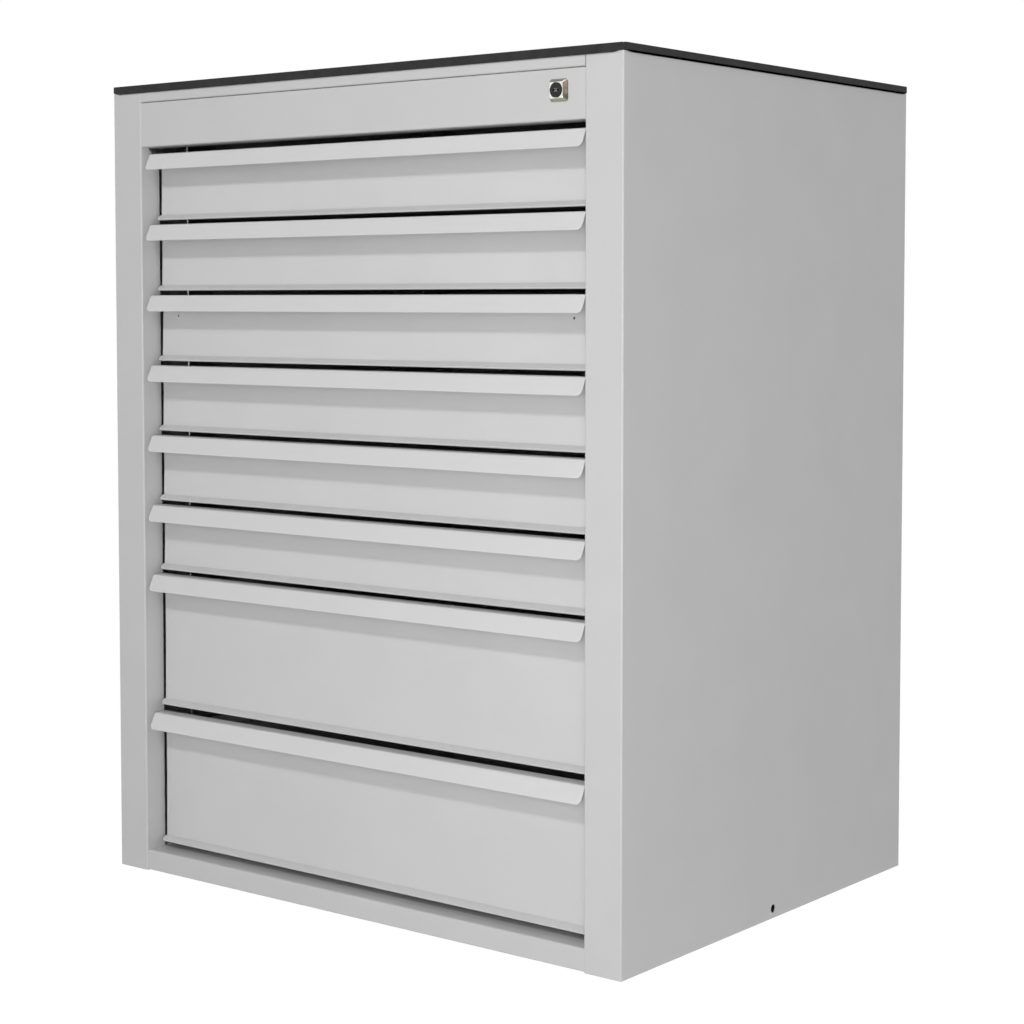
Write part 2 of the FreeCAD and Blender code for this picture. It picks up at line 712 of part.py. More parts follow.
def lane_strips(number):
    """Angle strips along the tray's floor that part the lanes of slides."""
    floor = f"bay_floor_{number} + tray_bottom_gap + tray_gauge"
    along = ("panel_back + tray_gauge + strip_play", "tray_end - tray_gauge - strip_play")
    strips = []
    for lane in range(1, SIDE_LANES):
        centre = f"(tray_half - tray_gauge) * {2 * lane - SIDE_LANES} / {SIDE_LANES}"
        leg = block((f"{centre} - tray_gauge / 2", f"{centre} + tray_gauge / 2"), along,
                    (floor, f"{floor} + strip_rise"))
        foot = block((f"{centre} - tray_gauge / 2", f"{centre} - tray_gauge / 2 + strip_foot"),
                     along, (floor, f"{floor} + tray_gauge"))
        strips.append(fuse(leg, foot))
    return group(*strips)


for number in DRAWERS:
    piece(drawer_front(number), f"drawer_{number}_front")
    piece(drawer_tray(number), f"drawer_{number}_tray")
    piece(pair(drawer_rail(number)), f"drawer_{number}_rails")
    if number <= SHALLOW_DRAWERS:
        piece(lane_strips(number), f"drawer_{number}_lane_strips")


# ---------------------------------------------------------------- central lock

def lock_housing():
    """Square chromed bezel with a round collar, and the threaded body behind it."""
    bezel = doc.addObject("Part::Wedge", "Bezel")
    for low, high, side, middle in (
            ("Xmin", "Xmax", "bezel_front", "lock_x"), ("Zmin", "Zmax", "bezel_front", "lock_z"),
            ("X2min", "X2max", "bezel_size", "lock_x"), ("Z2min", "Z2max", "bezel_size", "lock_z")):
        bezel.setExpression(low, bind(f"{middle} - {side} / 2"))
        bezel.setExpression(high, bind(f"{middle} + {side} / 2"))
    bezel.setExpression("Ymin", bind("collar_front"))
    bezel.setExpression("Ymax", bind("fascia_front"))
    collar = rod("y", "bezel_collar / 2", "collar_front", "fascia_front", "lock_x", "lock_z")
    body = rod("y", "lock_body / 2", "collar_front", "housing_end", "lock_x", "lock_z")
    recess = rod("y", "lock_face / 2 + lock_face_play", "collar_front - lock_face_depth",
                 "collar_front + lock_face_depth", "lock_x", "lock_z")
    bore = rod("y", "lock_plug / 2 + lock_fit", "collar_front", "housing_end + gauge",
               "lock_x", "lock_z")
    return cut(fuse(bezel, collar, body), recess, bore)


def lock_nut():
    """Hexagon nut that clamps the fascia behind the bezel."""
    nut = doc.addObject("Part::Prism", "Nut")
    nut.Polygon = 6
    nut.setExpression("Circumradius", bind("lock_nut_size"))
    nut.setExpression("Height", bind("lock_nut_length"))
    nut.Placement = Placement(Vector(), Rotation(Vector(1, 0, 0), -90))
    for axis, place in (("x", "lock_x"), ("y", "fascia_back"), ("z", "lock_z")):
        nut.setExpression(f"Placement.Base.{axis}", bind(place))
    hole = rod("y", "lock_body / 2 + lock_thread_play", "fascia_back - gauge",
               "fascia_back + lock_nut_length + gauge", "lock_x", "lock_z")
    return cut(nut, hole)


def lock_cylinder():
    """Round face with the key slot, and the plug that turns in the housing."""
    front = "front_y - lock_proud"
    face = rod("y", "lock_face / 2", front, f"{front} + lock_face_depth", "lock_x", "lock_z")
    plug = rod("y", "lock_plug / 2", front, "plug_end", "lock_x", "lock_z")
    slot = block(("lock_x - key_slot_length / 2", "lock_x + key_slot_length / 2"),
                 (f"{front} - gauge", f"{front} + key_slot_depth"),
                 ("lock_z - key_slot_width / 2", "lock_z + key_slot_width / 2"))
    screw = rod("y", "cam_screw_size / 2 + screw_play", "plug_end - cam_screw_length - gauge",
                "plug_end + gauge", "lock_x", "lock_z")
    return cut(fuse(face, plug), slot, screw)


def lock_cam():
    """Lever on the plug's tail whose pin stands in the locking bar's slot; at rest it
    points down to the right."""
    hub = rod("y", "cam_hub", "plug_end", "cam_back", "0", "0")
    tip = rod("y", "cam_tip", "plug_end", "cam_back", "pin_reach", "0")
    web = block(("0", "pin_reach"), ("plug_end", "cam_back"), ("-cam_tip", "cam_tip"))
    pin = rod("y", "pin_size / 2", "plug_end", "bar_back + gauge", "pin_reach", "0")
    hole = rod("y", "cam_screw_size / 2 + screw_play", "plug_end - gauge", "cam_back + gauge",
               "0", "0")
    cam = cut(fuse(hub, tip, web, pin), hole)
    cam.Placement = Placement(Vector(), Rotation(Vector(0, 1, 0), 45))
    cam.setExpression("Placement.Base.x", bind("lock_x"))
    cam.setExpression("Placement.Base.z", bind("lock_z"))
    return cam


def cam_screw():
    """Screw that holds the cam on the plug."""
    head = rod("y", "cam_screw_head / 2", "cam_back", "cam_back + cam_screw_height",
               "lock_x", "lock_z")
    shank = rod("y", "cam_screw_size / 2", "plug_end - cam_screw_length",
                "cam_back + cam_screw_height / 2", "lock_x", "lock_z")
    return fuse(head, shank)


def locking_bar():
    """Flat bar behind the right post: an arm with the pin's slot at its top, and a
    window round each drawer's catch whose lower edge rises into the catch's notch."""
    thickness = ("bar_front", "bar_back")
    bottom = f"catch_z_{LAST} - catch_height / 2 - bar_travel + hook_grip - bar_edge"
    shank = block(("bar_left", "bar_right"), thickness,
                  (bottom, "pin_rest_z + slot_half + bar_edge"))
    arm = block(("pin_rest_x - slot_half - bar_edge", "bar_right"), thickness,
                ("pin_rest_z - slot_half - bar_edge", "pin_rest_z + slot_half + bar_edge"))
    slot = block(("pin_rest_x - slot_half", "lock_x + pin_reach + slot_half"),
                 ("bar_front - gauge", "bar_back + gauge"),
                 ("pin_rest_z - slot_half", "pin_rest_z + slot_half"))
    windows = [
        block(("panel_half - gauge - window_play", "panel_half + window_play"),
              ("bar_front - gauge", "bar_back + gauge"),
              (f"catch_z_{number} - catch_height / 2 - bar_travel + hook_grip",
               f"catch_z_{number} + catch_height / 2 + window_play"))
        for number in DRAWERS
    ]
    return cut(fuse(shank, arm), slot, *windows)


def bar_guide(number):
    """Nylon guide on the front upright, halfway to the next drawer's catch."""
    centre = f"(catch_z_{number} + catch_z_{number + 1}) / 2"
    height = (f"{centre} - guide_height / 2", f"{centre} + guide_height / 2")
    outside = block(("bar_left - bar_inset + guide_play", "bar_right + guide_play + guide_wall"),
                    ("bar_front - guide_play - guide_wall", "front_upright_y"), height)
    channel = block(("bar_left - guide_play", "bar_right + guide_play"),
                    ("bar_front - guide_play", "bar_back + guide_play"),
                    (f"{centre} - guide_height", f"{centre} + guide_height"))
    return cut(outside, channel)


piece(lock_housing(), "lock_housing")
piece(lock_nut(), "lock_nut")
piece(lock_cylinder(), "lock_cylinder")
piece(lock_cam(), "lock_cam")
piece(cam_screw(), "cam_screw")
piece(locking_bar(), "locking_bar")
piece(group(*[bar_guide(number) for number in GUIDED_DRAWERS]), "locking_bar_guides")


# ---------------------------------------------------------------- checks and files

doc.recompute()
for item in doc.Objects:
    if "Invalid" in item.State or "Error" in item.State:
        raise RuntimeError(f"{item.Name} ({item.Label}) failed: {item.State}")
for item in pieces:
    if item.Shape.isNull() or not item.Shape.isValid() or not item.Shape.Solids:
        raise RuntimeError(f"{item.Label} has no sound shape")

os.makedirs("parts", exist_ok=True)
for item in pieces:
    item.Shape.exportStep(f"parts/{item.Label}.step")
    box = item.Shape.BoundBox
    print(f"{item.Label:26s} solids {len(item.Shape.Solids):3d}  "
          f"x {box.XMin:8.2f} {box.XMax:8.2f}  y {box.YMin:8.2f} {box.YMax:8.2f}  "
          f"z {box.ZMin:8.2f} {box.ZMax:8.2f}")
print(len(pieces), "sub-parts")
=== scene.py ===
import math

import bmesh
import bpy
from mathutils import Matrix, Vector

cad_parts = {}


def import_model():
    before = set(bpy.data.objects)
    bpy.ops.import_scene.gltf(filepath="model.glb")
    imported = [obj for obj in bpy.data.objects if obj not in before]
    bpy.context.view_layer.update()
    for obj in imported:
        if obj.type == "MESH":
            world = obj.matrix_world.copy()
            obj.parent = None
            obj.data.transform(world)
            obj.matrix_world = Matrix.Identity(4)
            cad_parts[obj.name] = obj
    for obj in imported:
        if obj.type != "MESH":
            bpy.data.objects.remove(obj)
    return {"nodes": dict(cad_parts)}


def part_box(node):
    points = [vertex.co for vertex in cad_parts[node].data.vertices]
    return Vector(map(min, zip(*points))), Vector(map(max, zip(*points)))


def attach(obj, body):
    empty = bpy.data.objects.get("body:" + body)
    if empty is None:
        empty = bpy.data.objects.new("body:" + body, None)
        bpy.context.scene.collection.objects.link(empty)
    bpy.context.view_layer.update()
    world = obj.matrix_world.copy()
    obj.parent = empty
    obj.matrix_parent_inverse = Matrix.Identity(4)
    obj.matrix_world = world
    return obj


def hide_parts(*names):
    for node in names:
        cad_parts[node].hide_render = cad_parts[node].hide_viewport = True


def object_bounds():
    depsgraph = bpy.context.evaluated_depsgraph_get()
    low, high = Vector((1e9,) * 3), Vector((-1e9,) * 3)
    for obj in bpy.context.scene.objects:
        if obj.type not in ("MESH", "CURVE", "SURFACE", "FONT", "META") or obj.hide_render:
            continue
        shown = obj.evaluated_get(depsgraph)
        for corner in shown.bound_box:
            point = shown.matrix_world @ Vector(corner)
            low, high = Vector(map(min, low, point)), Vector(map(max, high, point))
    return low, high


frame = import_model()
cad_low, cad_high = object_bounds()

# The looks of a steel cabinet of drawers for microscope slides. Every folded sheet is
# rebuilt with its rounded bends and cut edges where the frame has it.

MM = 0.001

# Sheet metal
GAUGE = 1.2 * MM               # carcass, fronts, runners
TRAY_GAUGE = 1.0 * MM
BEND = 1.2 * MM                # radius of a bend, on the sheet's centre line
SOFT_BEND = 2.2 * MM           # the same for the grip lips and the bottom rail
ARC_STEP = math.radians(15)
EDGE_STEPS = 6                 # round a cut edge
EDGE_TIP = 0.03                # inset of a cut edge's last ring, as a share of its radius
CORNER_STEPS = 6               # round a corner of a sheet's outline
HAIR = 0.02 * MM               # length of a step in a sheet's outline
DRILL_DEPTH = 8 * GAUGE
SHARP_ANGLE = math.radians(35)

# Carcass
POST_RETURN = 28 * MM
POST_NOTCH = 13 * MM
NOTCH_DROP = 1.5 * MM
REAR_FLANGE = 20 * MM
FOOT_FLANGE = 22 * MM
SIDE_HOLE_RADIUS = 4.5 * MM
SIDE_HOLE_HEIGHT = 10.5 * MM
FASCIA_HOLE_RADIUS = 9.2 * MM
RAIL_HEM = 20 * MM
STRIP_HEM = 15 * MM
SEAM = 0.08 * MM               # between the top strip and the posts

# Drawer fronts
PANEL_SETBACK = 26 * MM
LIP_SETBACK = 8.6 * MM
LIP_HEIGHT = 18 * MM
LIP_CORNER = 6 * MM
KICK_REACH = 7.6 * MM
KICK_FALL = 5.7 * MM
SHALLOW_KICK_RISE = 11.3 * MM
DEEP_KICK_RISE = 14.3 * MM
KICK_HEM = 7 * MM
KICK_CORNER = 2.4 * MM
LIP_DROP = 0.6 * MM
END_FLANGE = 7 * MM
RELIEF = 2.2 * MM              # end flanges stop this far from the lip and the lower edge
CATCH_DROP = 30 * MM
CATCH_HEIGHT = 10 * MM
NOTCH_FROM_END = (8 * MM, 14 * MM)
NOTCH_DEPTH = 5 * MM
SMALL_HOLE_RADIUS = 1.5 * MM
SMALL_HOLE_INSET = 27 * MM
SMALL_HOLE_DROP = 23.3 * MM
DRILLED_DRAWER = 3

# Trays
TRAY_RIM = 6.5 * MM
STRIP_FOOT = 10 * MM
LANES = 7

# Runners and screws
RUNNER_REACH = 13 * MM
RAIL_TAB_FROM_BACK = 59.5 * MM
SCREW_HEAD = 3.5 * MM          # radius
SCREW_HEAD_HEIGHT = 1.6 * MM
BACK_HEAD = 4 * MM             # radius
BACK_HEAD_HEIGHT = 1.4 * MM
BACK_SCREW_ROWS = 5
HEAD_RIM = ((0, 0.96), (0.12, 1))   # height and radius, as shares of the head's
HEAD_DOME = (0.3, 0.62)        # height at which the dome starts, radius of its flat top
HEAD_DOME_STEPS = 6
SOCKET = 0.46                  # radius of the socket's corners, as a share of the head's
SOCKET_LEVELS = ((1, 1.05), (0.95, 1), (0.3, 0.98))

# Mat
RIB_PITCH = 3 * MM
RIB_DEPTH = 0.9 * MM
RIB_PROFILE = (                # share of the pitch, height as a share of the depth
    (0.0, -1.0), (0.1, -0.85), (0.2, -0.2), (0.32, 0.0), (0.68, 0.0), (0.8, -0.2), (0.9, -0.85),
)
RIB_FREE = 0.2 * RIB_PITCH     # between the mat's plain edge and its first groove
PLAIN_EDGE_STEPS = 10
MAT_CORNER = 5.5 * MM
MAT_SOFTEN = 0.5 * MM          # rounds the mat's upper edge
SOFTEN_CUT = 0.3               # share of it at the middle of that rounding
RIB_END = 0.7                  # a groove's depth where it runs out over the edge, as a share
SKIRT_RISE = 2.2 * MM          # the skirt lifts off the steel round the corners
SKIRT_RISE_REACH = 14 * MM
SKIRT_STEPS = 6
MAT_SHARP = 50                 # degrees

# Lock
BEZEL_CORNER = 2.6 * MM
BEZEL_FRONT = 7.9 * MM         # half the width of its flat front
BEZEL_FRONT_CORNER = 1.5 * MM
BEZEL_BULGE = 0.35 * MM
BEZEL_WALL = 0.6 * MM          # height
BEZEL_UPRIGHT = 0.6            # share of the wall that stands straight
BEZEL_LEDGE = 0.2 * MM         # between the wall and the facets
BEZEL_BREAK = 0.15 * MM        # height of the broken edge round the flat front
BEZEL_BREAK_WIDTH = 0.12 * MM
BEZEL_STEPS = 8
BEZEL_SHARP = 28               # degrees
LOCK_BODY = 9 * MM             # radius, as the next two
LOCK_FACE = 7.3 * MM
PLUG = 6 * MM
FACE_PLAY = 0.3 * MM
FACE_DEPTH = 1.6 * MM
FACE_BREAK = 0.1 * MM
FACE_EDGE = (                  # in mm: height, distance from the face's radius
    (-0.5, 0), (-0.15, -0.15), (0, -0.5),
)
KEY_CORE = 4.9 * MM            # radius
KEY_CORE_EDGE = (              # the groove round the core and the core's own edge
    (0, 0.5), (-0.35, 0.15), (-0.35, 0), (-0.05, -0.3), (0, -0.5),
)
KEY_SLOT_DEPTH = 6 * MM
KEY_SLOT = (                   # a quarter of its outline, in mm: half width, half height
    (0.8, 0.5), (2.0, 1.0), (3.4, 1.2),
)

# Paint: sizes of its features, then heights of the bumps
PAINT_MOTTLE = 70 * MM
PAINT_SMEAR = 35 * MM
PAINT_PEEL = 2.4 * MM
PAINT_GRAIN = 0.9 * MM
GRAIN_BUMP = 0.006 * MM
PEEL_BUMP = 0.012 * MM

# Stage. Fitted to the photograph's tones and lines.
WHITE = (1, 1, 1, 1)
FLOOR_SIZE = 60
FLOOR_GLOW = 0.85              # share of the white in what the camera sees of the floor
FLOOR_WHITE = 1.14
FLOOR_DARK = 16 * MM           # the floor is dark from here inwards of the object's box
FLOOR_DARK_FADE = 4 * MM
SKY = 0.82                     # strength of the sky at the horizon
SKY_TOP = 0.7                  # sine of the elevation from which the sky is weakest
SKY_SHARE = 0.15               # strength there, as a share of the horizon's
AIM = (0.05, -0.2, 0.45)       # what the lamps point at, just behind the drawer fronts
LAMPS = {                      # place, width and height, power
    "key": ((0.567, -2.909, 2.78), (0.3, 0.3), 37),
    "front_fill": ((1.1, -1.69, 0.45), (0.8, 0.75), 11.8),
    "side_fill": ((3.46, 0.4, 0.94), (1.4, 1.4), 12.3),
}
CAMERA_PLACE = (1.5603, -1.96885, 0.65655)
CAMERA_TILT = -3.245           # degrees
CAMERA_TURN = 38.315
CAMERA_LENS = 76.68
CAMERA_SHIFT = -0.085

DRAWERS = range(1, 9)
SHALLOW = range(1, 7)


# ------------------------------------------------------------------ folded sheet

class Path:
    """Centre line of a folded sheet, seen end on: straight runs joined by arcs."""

    def __init__(self, corners, radii):
        corners = [Vector(corner) for corner in corners]
        self.parts = []
        self.length = 0
        start = corners[0]
        for index in range(1, len(corners) - 1):
            radius = radii[index - 1] if isinstance(radii, (list, tuple)) else radii
            before = (corners[index] - corners[index - 1]).normalized()
            after = (corners[index + 1] - corners[index]).normalized()
            turn = before.angle_signed(after)
            reach = radius * math.tan(abs(turn) / 2)
            bend_start = corners[index] - before * reach
            self._run(start, bend_start)
            self._arc(bend_start, before, radius, -turn)
            start = corners[index] + after * reach
        self._run(start, corners[-1])

    def _run(self, start, end):
        size = (end - start).length
        self.parts.append(("run", self.length, size, start, (end - start).normalized(), 0))
        self.length += size

    def _arc(self, start, heading, radius, turn):
        size = radius * abs(turn)
        self.parts.append(("arc", self.length, size, start, heading, turn))
        self.length += size

    def stations(self):
        """Lengths along the sheet where its shape changes."""
        found = {0.0, self.length}
        for kind, begin, size, _, _, turn in self.parts:
            steps = max(2, round(abs(turn) / ARC_STEP)) if kind == "arc" else 1
            found.update(begin + size * step / steps for step in range(steps + 1))
        return found

    def at(self, length):
        """Point and left-hand normal of the centre line."""
        part = next((p for p in self.parts if length <= p[1] + p[2] + 1e-9), self.parts[-1])
        kind, begin, size, start, heading, turn = part
        along = length - begin
        if kind == "run":
            return start + heading * along, Vector((-heading.y, heading.x))
        angle = turn * along / size
        radius = size / turn
        side = Vector((-heading.y, heading.x))
        sine, cosine = math.sin(angle), math.cos(angle)
        point = start + heading * (radius * sine) + side * (radius * (1 - cosine))
        tangent = heading * cosine + side * sine
        return point, Vector((-tangent.y, tangent.x))


def along_x(point, across):
    return Vector((across, point.x, point.y))


def along_y(point, across):
    return Vector((point.x, across, point.y))


def along_z(point, across):
    return Vector((point.x, point.y, across))


def plain(low, high):
    """The sheet keeps one width."""
    return lambda length, total: (low, high)


def edge_lengths(total, butt, radius):
    """Lengths near the free ends of a sheet where its edge is rounded."""
    found = set()
    for step in range(1, EDGE_STEPS // 2 + 1):
        angle = math.pi / 2 * step / (EDGE_STEPS // 2 + 1)
        inset = radius * (1 - math.cos(angle))
        if not butt[0]:
            found.add(inset)
        if not butt[1]:
            found.add(total - inset)
    return found


def half_thickness(length, total, butt, radius):
    """Half the sheet's thickness, which falls off round a free end."""
    gap = min(radius if butt[0] else length, radius if butt[1] else total - length)
    if gap >= radius:
        return radius
    gap = max(gap, radius * EDGE_TIP)
    return math.sqrt(radius ** 2 - (radius - gap) ** 2)


def add_sheet(mesh, path, place, width, gauge=GAUGE, butt=(False, False), square=False, extra=()):
    """Adds a folded sheet to the mesh: its centre line, how that lies in space, and the
    low and high end of its width at each length. Its first and last edge are round unless
    they butt, and its side edges are round unless they are square."""
    radius = gauge / 2
    total = path.length
    lengths = path.stations() | set(extra)
    lengths |= edge_lengths(total, butt, radius)
    rings = []
    for length in sorted(value for value in lengths if 0 <= value <= total):
        point, normal = path.at(length)
        half = half_thickness(length, total, butt, radius)
        low, high = width(length, total)
        round_by = 0 if square else radius
        ring = []
        for side, end in ((1, high - round_by), (-1, low + round_by)):
            for step in range(EDGE_STEPS + 1):
                angle = side * (math.pi / 2 - math.pi * step / EDGE_STEPS)
                bulge = side * round_by * math.cos(angle)
                place_at = point + normal * (half * math.sin(angle))
                ring.append(mesh.verts.new(place(place_at, end + bulge)))
        rings.append(ring)
    for ring, following in zip(rings, rings[1:]):
        for index in range(len(ring)):
            after = (index + 1) % len(ring)
            mesh.faces.new((ring[index], ring[after], following[after], following[index]))
    mesh.faces.new(rings[0])
    mesh.faces.new(rings[-1])


def corner_cut(radius, gap):
    """What a rounded corner takes off the width at a distance from the sheet's end."""
    return radius - math.sqrt(radius ** 2 - (radius - gap) ** 2) if gap < radius else 0


def corner_lengths(radius):
    """Distances from the sheet's end at which a rounded corner needs a ring."""
    return {radius * (1 - math.cos(math.pi / 2 * step / CORNER_STEPS))
            for step in range(1, CORNER_STEPS + 1)}


def add_block(mesh, low, high):
    """Plain block between two corners."""
    made = bmesh.ops.create_cube(mesh, size=1)
    low, high = Vector(low), Vector(high)
    for vert in made["verts"]:
        vert.co = Vector(
            low[axis] + (high[axis] - low[axis]) * (vert.co[axis] + 0.5) for axis in range(3)
        )


def add_prism(mesh, outlines):
    """Solid between two outlines that have the same number of points."""
    first, second = ([mesh.verts.new(point) for point in outline] for outline in outlines)
    mesh.faces.new(first)
    mesh.faces.new(second)
    for index in range(len(first)):
        after = (index + 1) % len(first)
        mesh.faces.new((first[index], first[after], second[after], second[index]))


# ------------------------------------------------------------------ pieces

def finish_piece(name, mesh, node, body, material, sharp=SHARP_ANGLE):
    """Turns a mesh into a piece that stands for a CAD node."""
    bmesh.ops.recalc_face_normals(mesh, faces=mesh.faces)
    data = bpy.data.meshes.new(name)
    mesh.to_mesh(data)
    mesh.free()
    data.shade_smooth()
    data.set_sharp_from_angle(angle=sharp)
    piece = bpy.data.objects.new(name, data)
    bpy.context.scene.collection.objects.link(piece)
    data.materials.append(material)
    normals = piece.modifiers.new("even shading", "WEIGHTED_NORMAL")
    normals.keep_sharp = True
    normals.weight = 100
    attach(piece, body)
    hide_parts(node)
    return piece


def hollow(piece, cutter_mesh):
    """Takes a closed mesh out of a piece."""
    bmesh.ops.recalc_face_normals(cutter_mesh, faces=cutter_mesh.faces)
    data = bpy.data.meshes.new("cutter")
    cutter_mesh.to_mesh(data)
    cutter_mesh.free()
    cutter = bpy.data.objects.new("cutter", data)
    bpy.context.scene.collection.objects.link(cutter)
    cut = piece.modifiers.new("hollow", "BOOLEAN")
    cut.operation = "DIFFERENCE"
    cut.solver = "EXACT"
    cut.object = cutter
    shading = piece.modifiers["even shading"]
    shading.show_viewport = False
    graph = bpy.context.evaluated_depsgraph_get()
    piece.data = bpy.data.meshes.new_from_object(piece.evaluated_get(graph))
    shading.show_viewport = True
    piece.modifiers.remove(cut)
    piece.data.set_sharp_from_angle(angle=SHARP_ANGLE)
    bpy.data.objects.remove(cutter)
    bpy.data.meshes.remove(data)


def drill(piece, axis, radius, *centres):
    """Cuts round holes through a piece."""
    mesh = bmesh.new()
    turn = Vector((0, 0, 1)).rotation_difference(Vector(axis)).to_matrix().to_4x4()
    for centre in centres:
        bmesh.ops.create_cone(
            mesh, cap_ends=True, segments=32, radius1=radius, radius2=radius,
            depth=DRILL_DEPTH, matrix=Matrix.Translation(centre) @ turn)
    hollow(piece, mesh)


# ------------------------------------------------------------------ materials

class Nodes:
    """Short-hand for the node tree of a material, or of the world."""

    def __init__(self, owner, shader="Principled BSDF", place="Object"):
        self.owner = bpy.data.materials.new(owner) if isinstance(owner, str) else owner
        self.owner.use_nodes = True
        self.tree = self.owner.node_tree
        self.shader = self.tree.nodes[shader]
        self.place = self.tree.nodes.new("ShaderNodeTexCoord").outputs[place]

    def add(self, kind, inputs=(), **settings):
        node = self.tree.nodes.new(kind)
        for key, value in settings.items():
            setattr(node, key, value)
        for key, value in dict(inputs).items():
            if isinstance(value, bpy.types.NodeSocket):
                self.tree.links.new(value, node.inputs[key])
            else:
                node.inputs[key].default_value = value
        return node

    def noise(self, size, detail=2.0, roughness=0.5, stretch=(1, 1, 1)):
        """Noise whose grains are about size metres across."""
        scaled = self.add("ShaderNodeMapping", {"Vector": self.place, "Scale": stretch})
        return self.add("ShaderNodeTexNoise", {
            "Vector": scaled.outputs["Vector"], "Scale": 1 / size, "Detail": detail,
            "Roughness": roughness}).outputs["Fac"]

    def span(self, value, low, high, start=0.3, end=0.7):
        """A value spread between two numbers."""
        return self.add("ShaderNodeMapRange", {
            "Value": value, "From Min": start, "From Max": end, "To Min": low,
            "To Max": high}).outputs["Result"]

    def tint(self, value, dark, light):
        """Between two colours, or sockets that carry one, by a value from 0 to 1."""
        ends = {key: end if isinstance(end, bpy.types.NodeSocket) else (*end, 1)
                for key, end in (("A", dark), ("B", light))}
        return self.add("ShaderNodeMix", {"Factor": value, **ends},
                        data_type="RGBA").outputs["Result"]

    def maths(self, operation, first, second=0.0):
        """A sum or other operation on two values."""
        return self.add("ShaderNodeMath", {0: first, 1: second},
                        operation=operation).outputs["Value"]

    def bump(self, height, distance, strength=1.0, normal=None):
        inputs = {"Height": height, "Distance": distance, "Strength": strength}
        if normal is not None:
            inputs["Normal"] = normal
        return self.add("ShaderNodeBump", inputs).outputs["Normal"]

    def set(self, **inputs):
        """Sets the shader's sockets, by their names with _ for a space."""
        for key, value in inputs.items():
            socket = self.shader.inputs[key.replace("_", " ")]
            if isinstance(value, bpy.types.NodeSocket):
                self.tree.links.new(value, socket)
            else:
                socket.default_value = value
        return self.owner


def grey(value, warmth=0.0):
    """A grey, a little warmer or cooler."""
    return value * (1 + warmth), value, value * (1 - warmth)


def powder_coat(name, tone, roughness):
    """Powder-coated steel: a fine orange peel, faint mottling and pale specks."""
    nodes = Nodes(name)
    mottle = nodes.span(nodes.noise(PAINT_MOTTLE, detail=4), 0, 1)
    grain = nodes.noise(PAINT_GRAIN, detail=3, roughness=0.6)
    peel = nodes.noise(PAINT_PEEL, detail=2)
    colour = nodes.tint(mottle, grey(tone * 0.985), grey(tone * 1.015))
    speck = nodes.span(grain, 0, 0.35, 0.55, 0.8)
    colour = nodes.tint(speck, colour, grey(tone * 1.08))
    smear = nodes.noise(PAINT_SMEAR, detail=3, stretch=(1, 1, 0.35))
    rough = nodes.maths("ADD", nodes.span(smear, roughness - 0.03, roughness + 0.03),
                        nodes.span(grain, -0.02, 0.02))
    normal = nodes.bump(peel, PEEL_BUMP, normal=nodes.bump(grain, GRAIN_BUMP))
    return nodes.set(Base_Color=colour, Roughness=rough, Normal=normal, IOR=1.5)


def zinc_plate():
    """Bright zinc over rolled steel: faint spangle and drawing lines."""
    nodes = Nodes("zinc_plate")
    cloud = nodes.span(nodes.noise(9 * MM, detail=3), 0, 1)
    lines = nodes.noise(1.2 * MM, detail=3, stretch=(1, 0.03, 1))
    colour = nodes.tint(cloud, (0.50, 0.51, 0.53), (0.62, 0.63, 0.64))
    rough = nodes.span(lines, 0.28, 0.42)
    return nodes.set(Base_Color=colour, Metallic=1.0, Roughness=rough,
                     Normal=nodes.bump(lines, 0.01 * MM))


def mat_rubber():
    """Black rubber: dusty tops, dull sheen and a fine moulded grain."""
    nodes = Nodes("mat_rubber")
    dust = nodes.span(nodes.noise(12 * MM, detail=5), 0, 1)
    grain = nodes.noise(0.7 * MM, detail=3)
    colour = nodes.tint(dust, grey(0.017), grey(0.028))
    rough = nodes.span(grain, 0.62, 0.8)
    return nodes.set(Base_Color=colour, Roughness=rough, Specular_IOR_Level=0.25,
                     Normal=nodes.bump(grain, 0.05 * MM, 0.6))


def nylon():
    """Natural nylon: milky, slightly translucent, faint flow marks."""
    nodes = Nodes("natural_nylon")
    flow = nodes.span(nodes.noise(6 * MM, detail=3), 0, 1)
    colour = nodes.tint(flow, (0.62, 0.60, 0.54), (0.70, 0.68, 0.62))
    return nodes.set(Base_Color=colour, Roughness=nodes.span(flow, 0.42, 0.5),
                     Subsurface_Weight=0.1, Subsurface_Radius=(0.002, 0.002, 0.002))


def off_centre(nodes, node):
    """Sideways and upward distance from the middle of a CAD node, with their signs, and the
    distance behind its front."""
    low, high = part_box(node)
    parts = nodes.add("ShaderNodeSeparateXYZ", {"Vector": nodes.place})
    middle = (low + high) / 2
    return [nodes.maths("SUBTRACT", parts.outputs[axis], value)
            for axis, value in (("X", middle.x), ("Z", middle.z), ("Y", low.y))]


